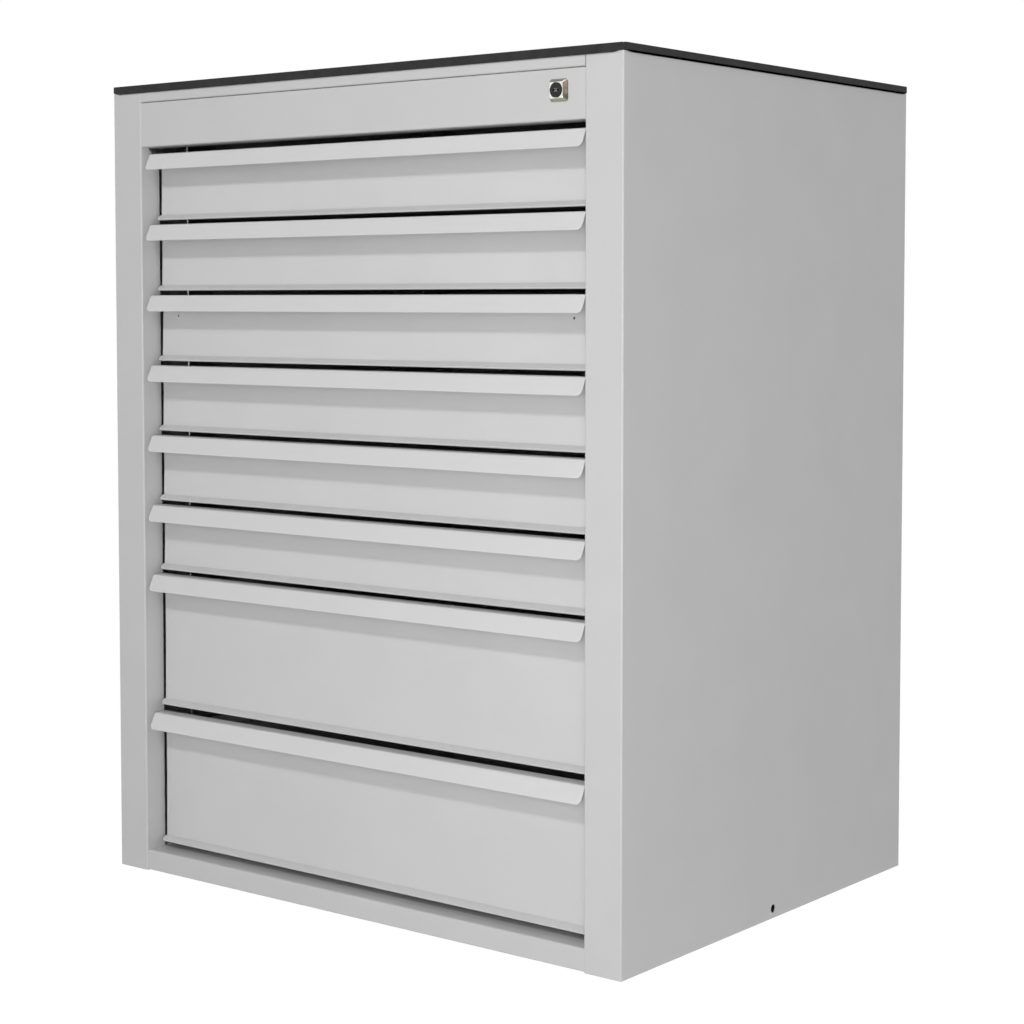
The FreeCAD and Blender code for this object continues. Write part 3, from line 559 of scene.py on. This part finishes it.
def chrome():
    """Polished chrome on the bezel's flat front, in random tints. Its facets carry painted
    reflections, dark olive to brown and grey green to brown from bottom to top, and a
    painted highlight along the diagonals at the top right and bottom left."""
    nodes = Nodes("lock_chrome")
    plating = (0.80, 0.79, 0.72), (0.95, 0.94, 0.90)
    flank_low, flank_high = (0.07, 0.065, 0.04), (0.30, 0.23, 0.19)
    brow_low, brow_high = (0.36, 0.38, 0.31), (0.26, 0.22, 0.18)
    cloud, highlight_white = (0.62, 0.58, 0.50), (0.93, 0.92, 0.88)
    wiped = nodes.noise(1.5 * MM, detail=3, stretch=(1, 1, 0.2))
    patches = nodes.span(nodes.noise(4 * MM, detail=3), 0, 1)
    sideways, up, _ = off_centre(nodes, "lock_housing")
    wide, tall = (nodes.maths("ABSOLUTE", value) for value in (sideways, up))
    facet = nodes.span(nodes.maths("MAXIMUM", wide, tall), 0, 1, BEZEL_FRONT - 0.1 * MM,
                       BEZEL_FRONT + 0.2 * MM)
    # Painted reflections on the facets: the side ones run from dark olive at the bottom to brown at
    # the top, the upper and lower ones from grey green to brown, with random clouds.
    height = nodes.span(up, 0, 1, -9 * MM, 9 * MM)
    flank = nodes.tint(height, flank_low, flank_high)
    brow = nodes.tint(height, brow_low, brow_high)
    upright = nodes.span(nodes.maths("SUBTRACT", wide, tall), 0, 1, -0.3 * MM, 0.3 * MM)
    facet_reflection = nodes.tint(upright, brow, flank)
    cloudy = nodes.tint(nodes.maths("MULTIPLY", patches, 0.35), facet_reflection, cloud)
    # Painted highlight: a pale band along the diagonal edges between the facets at the top right
    # and bottom left.
    from_corner = nodes.maths("ABSOLUTE", nodes.maths("SUBTRACT", sideways, up))
    ridge_highlight = nodes.span(from_corner, 1, 0, 0.5 * MM, 1.3 * MM)
    facets = nodes.tint(ridge_highlight, cloudy, highlight_white)
    colour = nodes.tint(facet, nodes.tint(patches, *plating), facets)
    return nodes.set(Base_Color=colour, Metallic=1.0, Roughness=nodes.span(wiped, 0.10, 0.2))


def black_lacquer():
    """Black lacquered lock face, with a painted highlight: pale grey patches just above and below
    the key slot's narrow middle stand in for glints on the slot's edges.
    """
    nodes = Nodes("lock_black")
    grain = nodes.noise(0.5 * MM, detail=3)
    sideways, up, depth = off_centre(nodes, "lock_cylinder")
    wide, tall = (nodes.maths("ABSOLUTE", value) for value in (sideways, up))
    # Painted highlight: pale grey patches beside the key slot's narrow middle, only on the front of
    # the face.
    slope = nodes.maths("ADD", tall, nodes.maths("MULTIPLY", wide, -0.45))
    near = nodes.span(slope, 1, 0, 0.55 * MM, 0.95 * MM)
    waist_highlight = nodes.maths("MULTIPLY", near, nodes.span(wide, 1, 0, 1.5 * MM, 2.1 * MM))
    waist_highlight = nodes.maths("MULTIPLY", waist_highlight, nodes.span(depth, 1, 0, 0.1 * MM, 0.3 * MM))
    colour = nodes.tint(nodes.span(grain, 0, 1), grey(0.010), grey(0.018))
    return nodes.set(Base_Color=nodes.tint(waist_highlight, colour, (0.42, 0.41, 0.40)),
                     Roughness=nodes.span(grain, 0.45, 0.6), Normal=nodes.bump(grain, 0.01 * MM),
                     Specular_IOR_Level=0.3)


def screw_steel():
    """Zinc-plated screws."""
    nodes = Nodes("screw_steel")
    cloud = nodes.noise(2 * MM, detail=3)
    colour = nodes.tint(nodes.span(cloud, 0, 1), (0.46, 0.46, 0.47), (0.58, 0.58, 0.58))
    return nodes.set(Base_Color=colour, Metallic=1.0, Roughness=nodes.span(cloud, 0.28, 0.4))


PAINT = powder_coat("cabinet_paint", tone=0.58, roughness=0.42)
FRONT_PAINT = powder_coat("front_paint", tone=0.615, roughness=0.42)
# Painted light: a lighter copy of the front paint for the grip lips and top flanges, standing in
# for the extra light their upturned faces catch.
LIP_PAINTED_LIGHT = powder_coat("lip_paint", tone=0.67, roughness=0.4)
TRAY_PAINT = powder_coat("tray_paint", tone=0.56, roughness=0.5)
ZINC = zinc_plate()
RUBBER = mat_rubber()
NYLON = nylon()
CHROME = chrome()
BLACK = black_lacquer()
SCREW = screw_steel()


# ------------------------------------------------------------------ carcass

def side_panel(node, side):
    """Side of the carcass: return, post, wall and rear flange from one sheet, and a foot
    flange. The return is notched beside the fascia and its rear part ends under it."""
    low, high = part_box(node)
    outer = max(abs(low.x), abs(high.x))
    inner = min(abs(low.x), abs(high.x))
    half = GAUGE / 2
    fascia_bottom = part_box("lock_fascia")[0].z
    corners = [
        (side * (inner + half), low.y + POST_RETURN),
        (side * (inner + half), low.y + half),
        (side * (outer - half), low.y + half),
        (side * (outer - half), high.y - half),
        (side * (outer - REAR_FLANGE), high.y - half),
    ]
    path = Path(corners, BEND)
    notch_end = POST_RETURN - POST_NOTCH
    notch_top = fascia_bottom - NOTCH_DROP

    def width(length, total):
        if length <= notch_end:
            return low.z, notch_top - (notch_end - length)
        return low.z, high.z

    mesh = bmesh.new()
    add_sheet(mesh, path, along_z, width, extra=(notch_end, notch_end + HAIR))
    foot = Path([(low.y + POST_RETURN + GAUGE, half), (high.y - 3 * GAUGE, half)], BEND)
    ends = sorted((side * (outer - FOOT_FLANGE), side * (outer - GAUGE)))
    add_sheet(mesh, foot, along_x, plain(*ends))
    piece = finish_piece(f"{node}_sheet", mesh, node, "cabinet", PAINT)
    hole = Vector((side * outer, (low.y + high.y) / 2, SIDE_HOLE_HEIGHT))
    drill(piece, (1, 0, 0), SIDE_HOLE_RADIUS, hole)


def top_panel():
    """Steel top with its front strip and hem; the strip fits between the posts."""
    low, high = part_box("top_panel")
    half = GAUGE / 2
    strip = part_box("lock_fascia")[1].x - SEAM
    path = Path([
        (low.y + STRIP_HEM, low.z + half),
        (low.y + half, low.z + half),
        (low.y + half, high.z - half),
        (high.y, high.z - half),
    ], BEND)
    top_starts = STRIP_HEM + (high.z - low.z) + 2 * GAUGE

    def width(length, total):
        reach = strip if length < top_starts else high.x
        return -reach, reach

    mesh = bmesh.new()
    steps = (top_starts - HAIR, top_starts)
    add_sheet(mesh, path, along_x, width, square=True, extra=steps)
    finish_piece("top_panel_sheet", mesh, "top_panel", "cabinet", PAINT)


def bottom_panel():
    """Bottom rail with its hem, the ledge behind it and the floor with a rear lip."""
    low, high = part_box("bottom_panel")
    half = GAUGE / 2
    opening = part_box("lock_fascia")[1].x
    path = Path([
        (low.y + RAIL_HEM, low.z + half),
        (low.y + half, low.z + half),
        (low.y + half, high.z - half),
        (high.y - half, high.z - half),
        (high.y - half, low.z + 2 * GAUGE),
    ], [BEND, SOFT_BEND, BEND])
    floor_starts = RAIL_HEM + (high.z - low.z) + POST_RETURN

    def width(length, total):
        reach = opening if length < floor_starts else high.x
        return -reach, reach

    mesh = bmesh.new()
    add_sheet(mesh, path, along_x, width, extra=(floor_starts - HAIR, floor_starts))
    finish_piece("bottom_panel_sheet", mesh, "bottom_panel", "cabinet", PAINT)


def back_panel():
    """Flat back inside the rear flanges."""
    low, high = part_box("back_panel")
    middle = (low.y + high.y) / 2
    mesh = bmesh.new()
    add_sheet(mesh, Path([(middle, low.z), (middle, high.z)], BEND), along_x, plain(low.x, high.x))
    finish_piece("back_panel_sheet", mesh, "back_panel", "cabinet", PAINT)


def lock_fascia():
    """Channel with the lock's hole."""
    low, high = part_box("lock_fascia")
    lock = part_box("lock_nut")
    half = GAUGE / 2
    path = Path([
        (high.y, low.z + half), (low.y + half, low.z + half),
        (low.y + half, high.z - half), (high.y, high.z - half),
    ], BEND)
    mesh = bmesh.new()
    add_sheet(mesh, path, along_x, plain(low.x, high.x), square=True)
    piece = finish_piece("lock_fascia_sheet", mesh, "lock_fascia", "cabinet",
                         PAINT)
    centre = (lock[0] + lock[1]) / 2
    centre.y = low.y
    drill(piece, (0, 1, 0), FASCIA_HOLE_RADIUS, centre)


def rubber_mat():
    """Ribbed mat: ribs from front to back, rounded corners, a skirt round the steel top."""
    low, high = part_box("rubber_mat")
    steel_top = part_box("top_panel")[1].z
    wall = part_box("right_side_panel")
    middle_y = (low.y + high.y) / 2
    half_y = (high.y - low.y) / 2
    ribs = round((high.x - low.x - 2 * RIB_PITCH) / RIB_PITCH)
    edge = (high.x - low.x - ribs * RIB_PITCH) / 2
    insets = [(edge - RIB_FREE) * (step / PLAIN_EDGE_STEPS) ** 2
              for step in range(PLAIN_EDGE_STEPS)]
    columns = [(low.x + inset, 0.0) for inset in insets]
    for rib in range(ribs):
        for share, depth in RIB_PROFILE:
            columns.append((low.x + edge + (rib + share) * RIB_PITCH, depth * RIB_DEPTH))
    columns.append((high.x - edge, -RIB_DEPTH))
    columns += [(high.x - inset, 0.0) for inset in reversed(insets)]

    def reach(x, shrink):
        """Half the mat's depth at x, less where the corner rounds off."""
        radius = MAT_CORNER - shrink
        beyond = abs(x) - (high.x - shrink - radius)
        limit = half_y - shrink
        if beyond <= 0:
            return limit
        beyond = min(beyond, radius)
        return limit - radius + math.sqrt(radius ** 2 - beyond ** 2)

    def hem(distance):
        """Level of the skirt's lower edge, by the distance to the mat's corner."""
        share = max(0, 1 - distance / SKIRT_RISE_REACH)
        return low.z + SKIRT_RISE * share ** 2 * (3 - 2 * share)

    soften, cut = MAT_SOFTEN, MAT_SOFTEN * SOFTEN_CUT
    mesh = bmesh.new()
    rows = []
    for x, depth in columns:
        outer = reach(x, 0)
        row = []
        for sign in (-1, 1):
            levels = [
                (outer, hem(high.x - abs(x))), (outer, high.z + depth * RIB_END - soften),
                (outer - cut, high.z + depth - cut), (outer - soften, high.z + depth),
            ]
            if sign == 1:
                levels.reverse()
            row += [mesh.verts.new((x, middle_y + sign * max(y, 0), z)) for y, z in levels]
        rows.append(row)
    hems = []
    for row in (rows[0], rows[-1]):
        straight = half_y - MAT_CORNER
        steps = [straight - SKIRT_RISE_REACH * step / SKIRT_STEPS
                 for step in range(SKIRT_STEPS + 1)]
        ends = steps + [-step for step in reversed(steps)]
        x = row[0].co.x
        hems.append([mesh.verts.new((x, middle_y + y, hem(half_y - abs(y)))) for y in ends[1:-1]])
    for row, following in zip(rows, rows[1:]):
        for index in range(len(row) - 1):
            mesh.faces.new((row[index], row[index + 1], following[index + 1], following[index]))
        before = hems[0] if row is rows[0] else []
        after = hems[1][::-1] if following is rows[-1] else []
        mesh.faces.new((row[-1], *before, row[0], following[0], *after, following[-1]))
    mesh.faces.new((*rows[0], *hems[0]))
    mesh.faces.new((*rows[-1], *hems[1]))
    piece = finish_piece("rubber_mat_ribbed", mesh, "rubber_mat", "cabinet", RUBBER,
                         sharp=math.radians(MAT_SHARP))
    seat = bmesh.new()
    add_block(seat, (-wall[1].x - HAIR, wall[0].y - HAIR, low.z - MM),
              (wall[1].x + HAIR, wall[1].y + HAIR, steel_top))
    hollow(piece, seat)


def upright(node, side):
    """Channel that carries the runners."""
    low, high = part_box(node)
    inner = min(abs(low.x), abs(high.x))
    outer = max(abs(low.x), abs(high.x))
    half = GAUGE / 2
    path = Path([
        (side * outer, low.y + half), (side * (inner + half), low.y + half),
        (side * (inner + half), high.y - half), (side * outer, high.y - half),
    ], BEND)
    mesh = bmesh.new()
    add_sheet(mesh, path, along_z, plain(low.z, high.z))
    finish_piece(f"{node}_sheet", mesh, node, "cabinet", ZINC)


for panel_side, panel_node in ((1, "right_side_panel"), (-1, "left_side_panel")):
    side_panel(panel_node, panel_side)
top_panel()
bottom_panel()
back_panel()
lock_fascia()
rubber_mat()
for upright_side, side_name in ((1, "right"), (-1, "left")):
    for end_name in ("front", "rear"):
        upright(f"{side_name}_{end_name}_upright", upright_side)


# ------------------------------------------------------------------ drawers

def drawer_front(number):
    """Front of one drawer: lip, top flange, panel and hemmed lower edge from one sheet,
    with end flanges and the lock's catch."""
    node = f"drawer_{number}_front"
    low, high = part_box(node)
    half = GAUGE / 2
    top = high.z
    bay_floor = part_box(f"drawer_{number + 1}_front")[1].z if number < DRAWERS[-1] else (
        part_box("bottom_panel")[1].z - LIP_DROP)
    front = low.y
    panel = front + PANEL_SETBACK + half
    bend = bay_floor + (SHALLOW_KICK_RISE if number in SHALLOW else DEEP_KICK_RISE)
    lip = Vector((LIP_SETBACK, LIP_HEIGHT)).normalized()
    inward = Vector((lip.y, -lip.x)) * half
    lip_end = Vector((front, top - LIP_HEIGHT)) + inward
    lip_top = lip_end + lip * ((top - half - lip_end.y) / lip.y)
    kick = Vector((-KICK_REACH, -KICK_FALL))
    turn = Vector((-kick.y, kick.x)).normalized() * (-GAUGE - HAIR)
    kick_end = Vector((panel, bend)) + kick
    path = Path([
        lip_end, lip_top, (panel, top - half), (panel, bend), kick_end, kick_end + turn,
        kick_end + turn - kick.normalized() * KICK_HEM,
    ], [SOFT_BEND, BEND, BEND, half + HAIR / 2, half + HAIR / 2])
    flat = high.x - half - BEND
    runs = [part[1:3] for part in path.parts if part[0] == "run"]
    (panel_start, panel_length), (kick_start, kick_length) = runs[2:4]
    panel_from = panel_start + RELIEF - BEND
    panel_to = panel_start + panel_length - RELIEF + BEND
    kick_tip = kick_start + kick_length
    fold_end = kick_tip + math.pi * half

    def width(length, total):
        """Full at the lip and the lower edge, whose corners are round; less at the panel,
        where the end flanges' bends follow."""
        if panel_from < length < panel_to:
            return -flat, flat
        if length > panel_to:
            cut = corner_cut(KICK_CORNER, max(kick_tip - length, length - fold_end, 0))
        else:
            cut = corner_cut(LIP_CORNER, length)
        return low.x + cut, high.x - cut

    steps = {panel_from, panel_from + HAIR, panel_to, panel_to + HAIR}
    steps |= corner_lengths(LIP_CORNER)
    steps |= {kick_tip - value for value in corner_lengths(KICK_CORNER)}
    steps |= {fold_end + value for value in corner_lengths(KICK_CORNER)}
    mesh = bmesh.new()
    add_sheet(mesh, path, along_x, width, extra=steps)
    for side in (-1, 1):
        flange = Path([
            (side * flat, panel), (side * (high.x - half), panel),
            (side * (high.x - half), front + PANEL_SETBACK + GAUGE + END_FLANGE),
        ], BEND)
        add_sheet(mesh, flange, along_z, plain(bend + RELIEF, top - GAUGE - RELIEF),
                  butt=(True, False))
    catch = catch_outline(front, high.y, top)
    add_prism(mesh, [[(x, y, z) for y, z in catch] for x in (high.x - GAUGE, high.x)])
    body = f"drawer_{number}"
    piece = finish_piece(f"{node}_sheet", mesh, node, body, FRONT_PAINT)
    drill_small_holes(piece, number, panel)
    # Painted light and shade: faces in front of the panel take the lighter lip paint on the lip and
    # top flange, and the darker cabinet paint on the hemmed kick, for the light and shade these
    # faces get.
    coats = piece.data.materials
    coats.append(LIP_PAINTED_LIGHT)
    coats.append(PAINT)
    for face in piece.data.polygons:
        if face.center.y < panel - GAUGE:
            of_lip = face.center.z > top - 2 * LIP_HEIGHT
            face.material_index = coats.find((LIP_PAINTED_LIGHT if of_lip else PAINT).name)


def drill_small_holes(piece, number, y):
    """The two small holes through one drawer's front and its tray's front wall."""
    if number == DRILLED_DRAWER:
        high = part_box(f"drawer_{number}_front")[1]
        place, z = high.x - SMALL_HOLE_INSET, high.z - SMALL_HOLE_DROP
        drill(piece, (0, 1, 0), SMALL_HOLE_RADIUS, (-place, y, z), (place, y, z))


def catch_outline(front, back, top):
    """The catch: a tab with a notch open downwards that the locking bar rises into."""
    middle = top - CATCH_DROP
    low, high = middle - CATCH_HEIGHT / 2, middle + CATCH_HEIGHT / 2
    start = front + PANEL_SETBACK + GAUGE
    near, far = back - NOTCH_FROM_END[1], back - NOTCH_FROM_END[0]
    return [
        (start, low), (near, low), (near, low + NOTCH_DEPTH), (far, low + NOTCH_DEPTH),
        (far, low), (back, low), (back, high), (start, high),
    ]


def drawer_tray(number):
    """Tray with rounded bends and rims, and its front and back walls."""
    node = f"drawer_{number}_tray"
    low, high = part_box(node)
    half = TRAY_GAUGE / 2
    inside = high.x - TRAY_RIM + half - TRAY_GAUGE
    path = Path([
        (-high.x, high.z - half), (-inside - half, high.z - half),
        (-inside - half, low.z + half), (inside + half, low.z + half),
        (inside + half, high.z - half), (high.x, high.z - half),
    ], BEND)
    mesh = bmesh.new()
    add_sheet(mesh, path, along_y, plain(low.y, high.y), gauge=TRAY_GAUGE)
    for middle in (low.y + half, high.y - half):
        end = Path([(middle, low.z + TRAY_GAUGE), (middle, high.z)], BEND)
        add_sheet(mesh, end, along_x, plain(-inside, inside), gauge=TRAY_GAUGE)
    piece = finish_piece(f"{node}_sheet", mesh, node, f"drawer_{number}", TRAY_PAINT)
    drill_small_holes(piece, number, low.y)


def lane_strips(number):
    """Angle strips that part the lanes of slides."""
    node = f"drawer_{number}_lane_strips"
    low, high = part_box(node)
    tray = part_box(f"drawer_{number}_tray")
    half = TRAY_GAUGE / 2
    across = tray[1].x - TRAY_RIM + half - TRAY_GAUGE
    mesh = bmesh.new()
    for lane in range(1, LANES):
        centre = across * (2 * lane - LANES) / LANES
        path = Path([
            (centre - half + STRIP_FOOT, low.z + half), (centre, low.z + half), (centre, high.z),
        ], TRAY_GAUGE)
        add_sheet(mesh, path, along_y, plain(low.y, high.y), gauge=TRAY_GAUGE)
    finish_piece(f"{node}_sheet", mesh, node, f"drawer_{number}", TRAY_PAINT)


def channel(mesh, inner, outer, low, high, ends, open_outwards, side):
    """Runner or rail: a channel along Y between two distances from the middle."""
    half = GAUGE / 2
    web = inner + half if open_outwards else outer - half
    tip = outer if open_outwards else inner
    path = Path([
        (side * tip, low + half), (side * web, low + half),
        (side * web, high - half), (side * tip, high - half),
    ], BEND)
    add_sheet(mesh, path, along_y, plain(*ends))


def runner_pair(number):
    """Pair of fixed runners."""
    node = f"runner_pair_{number}"
    low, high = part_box(node)
    mesh = bmesh.new()
    for side in (-1, 1):
        channel(mesh, high.x - RUNNER_REACH, high.x, low.z, high.z, (low.y, high.y), False, side)
    finish_piece(f"{node}_sheet", mesh, node, "cabinet", ZINC)


def drawer_rails(number):
    """Pair of rails on a tray, each with its stop tab."""
    node = f"drawer_{number}_rails"
    low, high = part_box(node)
    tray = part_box(f"drawer_{number}_tray")
    inner = tray[1].x - TRAY_RIM + TRAY_GAUGE / 2
    mesh = bmesh.new()
    for side in (-1, 1):
        channel(mesh, inner, high.x, low.z, high.z, (low.y, high.y), True, side)
        tab = high.y - RAIL_TAB_FROM_BACK
        ends = sorted((side * (inner + GAUGE), side * (high.x - HAIR)))
        flat = Path([(tab - GAUGE / 2, low.z + GAUGE), (tab - GAUGE / 2, high.z - GAUGE)], BEND)
        add_sheet(mesh, flat, along_x, plain(*ends))
    finish_piece(f"{node}_sheet", mesh, node, f"drawer_{number}", ZINC)


for drawer in DRAWERS:
    drawer_front(drawer)
    drawer_tray(drawer)
    drawer_rails(drawer)
    runner_pair(drawer)
    if drawer in SHALLOW:
        lane_strips(drawer)


# ------------------------------------------------------------------ turned pieces

def add_turned(mesh, centre, axis, levels, segments=48, bored=False):
    """Adds a closed body round an axis: each level is a height along it and a radius,
    either a number or a function of the angle. A bored one has a hole right through."""
    turn = Vector((0, 0, 1)).rotation_difference(Vector(axis)).to_matrix()
    rings = []
    for height, radius in levels:
        ring = []
        for index in range(segments):
            angle = 2 * math.pi * index / segments
            size = radius(angle) if callable(radius) else radius
            local = Vector((size * math.cos(angle), size * math.sin(angle), height))
            ring.append(mesh.verts.new(Vector(centre) + turn @ local))
        rings.append(ring)
    for ring, following in zip(rings, rings[1:] + (rings[:1] if bored else [])):
        for index in range(segments):
            after = (index + 1) % segments
            mesh.faces.new((ring[index], ring[after], following[after], following[index]))
    if not bored:
        mesh.faces.new(rings[0])
        mesh.faces.new(rings[-1])


def hexagon(corner):
    """Radius of a hexagon, by angle; the argument is its radius at a corner."""
    def radius(angle):
        step = math.pi / 3
        off = (angle % step) - step / 2
        return corner * math.cos(step / 2) / math.cos(off)
    return radius


def screw_head(mesh, centre, axis, radius, height):
    """Rounded head with a hexagonal socket."""
    levels = [(height * up, radius * out) for up, out in HEAD_RIM]
    start, top = HEAD_DOME
    for step in range(HEAD_DOME_STEPS):
        angle = math.pi / 2 * step / HEAD_DOME_STEPS
        levels.append((height * (start + (1 - start) * math.sin(angle)),
                       radius * (top + (1 - top) * math.cos(angle))))
    levels += [(height * up, hexagon(radius * SOCKET * out)) for up, out in SOCKET_LEVELS]
    add_turned(mesh, centre, axis, levels, segments=24)


def runner_screws():
    """Two screws in each runner, their heads inside the channel."""
    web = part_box("runner_pair_1")[1].x - GAUGE
    mesh = bmesh.new()
    for number in DRAWERS:
        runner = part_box(f"runner_pair_{number}")
        for end_name in ("front", "rear"):
            upright_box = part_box(f"right_{end_name}_upright")
            for side in (-1, 1):
                centre = (side * web, (upright_box[0].y + upright_box[1].y) / 2,
                          (runner[0].z + runner[1].z) / 2)
                screw_head(mesh, centre, (-side, 0, 0), SCREW_HEAD, SCREW_HEAD_HEIGHT)
    finish_piece("runner_screw_heads", mesh, "runner_screws", "cabinet", SCREW)


def back_screws():
    """Screws through the rear flanges."""
    low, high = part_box("back_panel_screws")
    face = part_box("right_side_panel")[1].y
    mesh = bmesh.new()
    for row in range(BACK_SCREW_ROWS):
        first = low.z + BACK_HEAD
        z = first + (high.z - BACK_HEAD - first) * row / (BACK_SCREW_ROWS - 1)
        for side in (-1, 1):
            screw_head(mesh, (side * (high.x - BACK_HEAD), face, z), (0, 1, 0),
                       BACK_HEAD, BACK_HEAD_HEIGHT)
    finish_piece("back_panel_screw_heads", mesh, "back_panel_screws", "cabinet",
                 SCREW)


def rounded_square(half, corner):
    """Radius of a rounded square, by angle."""
    def radius(angle):
        c, s = abs(math.cos(angle)), abs(math.sin(angle))
        straight = half - corner
        flat = half / max(c, s)
        if flat * min(c, s) <= straight:
            return flat
        middle = straight * (c + s)
        return middle + math.sqrt(max(middle ** 2 - 2 * straight ** 2 + corner ** 2, 0))
    return radius


def lock_housing():
    """Chromed bezel: a square that rises in four slightly curved facets to a flat square
    front, with a round recess for the face and the plug's bore right through."""
    low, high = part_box("lock_housing")
    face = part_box("lock_fascia")[0].y
    centre = Vector(((low.x + high.x) / 2, face, (low.z + high.z) / 2))
    half = (high.x - low.x) / 2
    rise = face - low.y
    foot, ledge = rounded_square(half, BEZEL_CORNER), half - BEZEL_LEDGE
    levels = [
        (face - high.y, LOCK_BODY), (0.0, LOCK_BODY), (0.0, foot),
        (BEZEL_WALL * BEZEL_UPRIGHT, foot), (BEZEL_WALL, rounded_square(ledge, BEZEL_CORNER)),
    ]
    for step in range(1, BEZEL_STEPS + 1):
        share = step / BEZEL_STEPS
        size = ledge * (1 - share) + BEZEL_FRONT * share
        size += BEZEL_BULGE * 4 * share * (1 - share)
        corner = BEZEL_CORNER + (BEZEL_FRONT_CORNER - BEZEL_CORNER) * share
        levels.append((BEZEL_WALL + (rise - BEZEL_WALL - BEZEL_BREAK) * share,
                       rounded_square(size, corner)))
    recess, bore = LOCK_FACE + FACE_PLAY, PLUG + FACE_PLAY
    levels += [
        (rise, rounded_square(BEZEL_FRONT - BEZEL_BREAK_WIDTH, BEZEL_FRONT_CORNER)),
        (rise, recess + FACE_BREAK), (rise - FACE_BREAK, recess), (rise - FACE_DEPTH, recess),
        (rise - FACE_DEPTH, bore), (face - high.y, bore),
    ]
    mesh = bmesh.new()
    add_turned(mesh, centre, (0, -1, 0), levels, segments=96, bored=True)
    finish_piece("lock_bezel", mesh, "lock_housing", "cabinet", CHROME,
                 sharp=math.radians(BEZEL_SHARP))


def lock_cylinder():
    """Black face with a raised key core and its slot, and the plug behind."""
    low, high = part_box("lock_cylinder")
    centre = Vector(((low.x + high.x) / 2, low.y, (low.z + high.z) / 2))
    levels = [(low.y - high.y, PLUG), (-FACE_DEPTH, PLUG), (-FACE_DEPTH, LOCK_FACE - FACE_BREAK)]
    for size, edge in ((LOCK_FACE, FACE_EDGE), (KEY_CORE, KEY_CORE_EDGE)):
        levels += [(up * MM, size + out * MM) for up, out in edge]
    mesh = bmesh.new()
    add_turned(mesh, centre, (0, -1, 0), levels, segments=64)
    piece = finish_piece("lock_cylinder_face", mesh, "lock_cylinder", "lock", BLACK)
    slot = bmesh.new()
    right = [(x, -z) for x, z in KEY_SLOT] + [(x, z) for x, z in reversed(KEY_SLOT)]
    bow_tie = right + [(-x, -z) for x, z in right]
    ends = (low.y - MM, low.y + KEY_SLOT_DEPTH)
    add_prism(slot, [[(centre.x + x * MM, y, centre.z + z * MM) for x, z in bow_tie] for y in ends])
    hollow(piece, slot)


runner_screws()
back_screws()
lock_housing()
lock_cylinder()


# ------------------------------------------------------------------ nodes kept as they are

KEPT = {
    "runner_stop_blocks": NYLON, "locking_bar_guides": NYLON, "lock_nut": SCREW,
    "cam_screw": SCREW, "lock_cam": ZINC, "locking_bar": ZINC,
}
for kept_node, kept_material in KEPT.items():
    data = frame["nodes"][kept_node].data
    data.materials.clear()
    data.materials.append(kept_material)


# ------------------------------------------------------------------ stage, light, camera

def show_white(nodes, share, strength, kind, output):
    """Mixes plain white into a shader, for what the camera, metal and glass show of it. That
    white lights nothing else."""
    rays = nodes.add("ShaderNodeLightPath").outputs
    seen = nodes.maths("MAXIMUM", nodes.maths("MAXIMUM", rays["Is Camera Ray"],
                                              rays["Is Glossy Ray"]), rays["Is Transmission Ray"])
    white = nodes.add(kind, {"Color": WHITE, "Strength": strength})
    mix = nodes.add("ShaderNodeMixShader", {
        0: nodes.maths("MULTIPLY", seen, share), 1: nodes.shader.outputs[0], 2: white.outputs[0]})
    nodes.tree.links.new(mix.outputs["Shader"], nodes.tree.nodes[output].inputs["Surface"])


def floor():
    """Pale floor that keeps a light shadow and fades into the white background; it is dark
    under the object, as seen through the side holes."""
    bpy.ops.mesh.primitive_plane_add(size=FLOOR_SIZE, location=(0, 0, 0))
    plane = bpy.context.object
    plane.name = "floor"
    nodes = Nodes("floor")
    patch = nodes.span(nodes.noise(0.6, detail=2), 0, 1)
    nodes.set(Base_Color=nodes.tint(patch, grey(0.59), grey(0.61)), Roughness=0.7)
    parts = nodes.add("ShaderNodeSeparateXYZ", {"Vector": nodes.place})
    beyond = [nodes.maths("SUBTRACT", nodes.maths("ABSOLUTE", parts.outputs[axis]), edge)
              for axis, edge in (("X", cad_high[0]), ("Y", cad_high[1]))]
    outside = nodes.span(nodes.maths("MAXIMUM", *beyond), 0, FLOOR_GLOW,
                         -FLOOR_DARK, FLOOR_DARK_FADE - FLOOR_DARK)
    show_white(nodes, outside, FLOOR_WHITE, "ShaderNodeEmission", "Material Output")
    plane.data.materials.append(nodes.owner)


def world():
    """Soft light from all round, weaker overhead; what the camera and the metal see of it
    is white."""
    nodes = Nodes(bpy.data.worlds.new("studio"), "Background", "Generated")
    up = nodes.add("ShaderNodeSeparateXYZ", {"Vector": nodes.place}).outputs["Z"]
    nodes.set(Color=WHITE, Strength=nodes.span(up, SKY, SKY * SKY_SHARE, 0, SKY_TOP))
    show_white(nodes, 1.0, 1.0, "ShaderNodeBackground", "World Output")
    bpy.context.scene.world = nodes.owner


def softbox(name, place, size, power):
    """Soft lamp, pointed at the drawers."""
    light = bpy.data.lights.new(name, "AREA")
    light.shape = "RECTANGLE"
    light.size, light.size_y = size
    light.energy = power
    lamp = bpy.data.objects.new(name, light)
    lamp.location = place
    lamp.rotation_euler = (Vector(AIM) - Vector(place)).to_track_quat("-Z", "Y").to_euler()
    bpy.context.scene.collection.objects.link(lamp)


def camera():
    """Camera at the photograph's viewing angle."""
    data = bpy.data.cameras.new("camera")
    data.lens = CAMERA_LENS
    data.sensor_width = 36
    data.shift_y = CAMERA_SHIFT
    data.clip_end = 100
    view = bpy.data.objects.new("camera", data)
    view.location = CAMERA_PLACE
    view.rotation_euler = (math.radians(90 + CAMERA_TILT), 0, math.radians(CAMERA_TURN))
    bpy.context.scene.collection.objects.link(view)
    bpy.context.scene.camera = view


floor()
world()
for lamp_name, lamp_settings in LAMPS.items():
    softbox(lamp_name, *lamp_settings)
camera()
bpy.context.scene.view_settings.view_transform = "Standard"
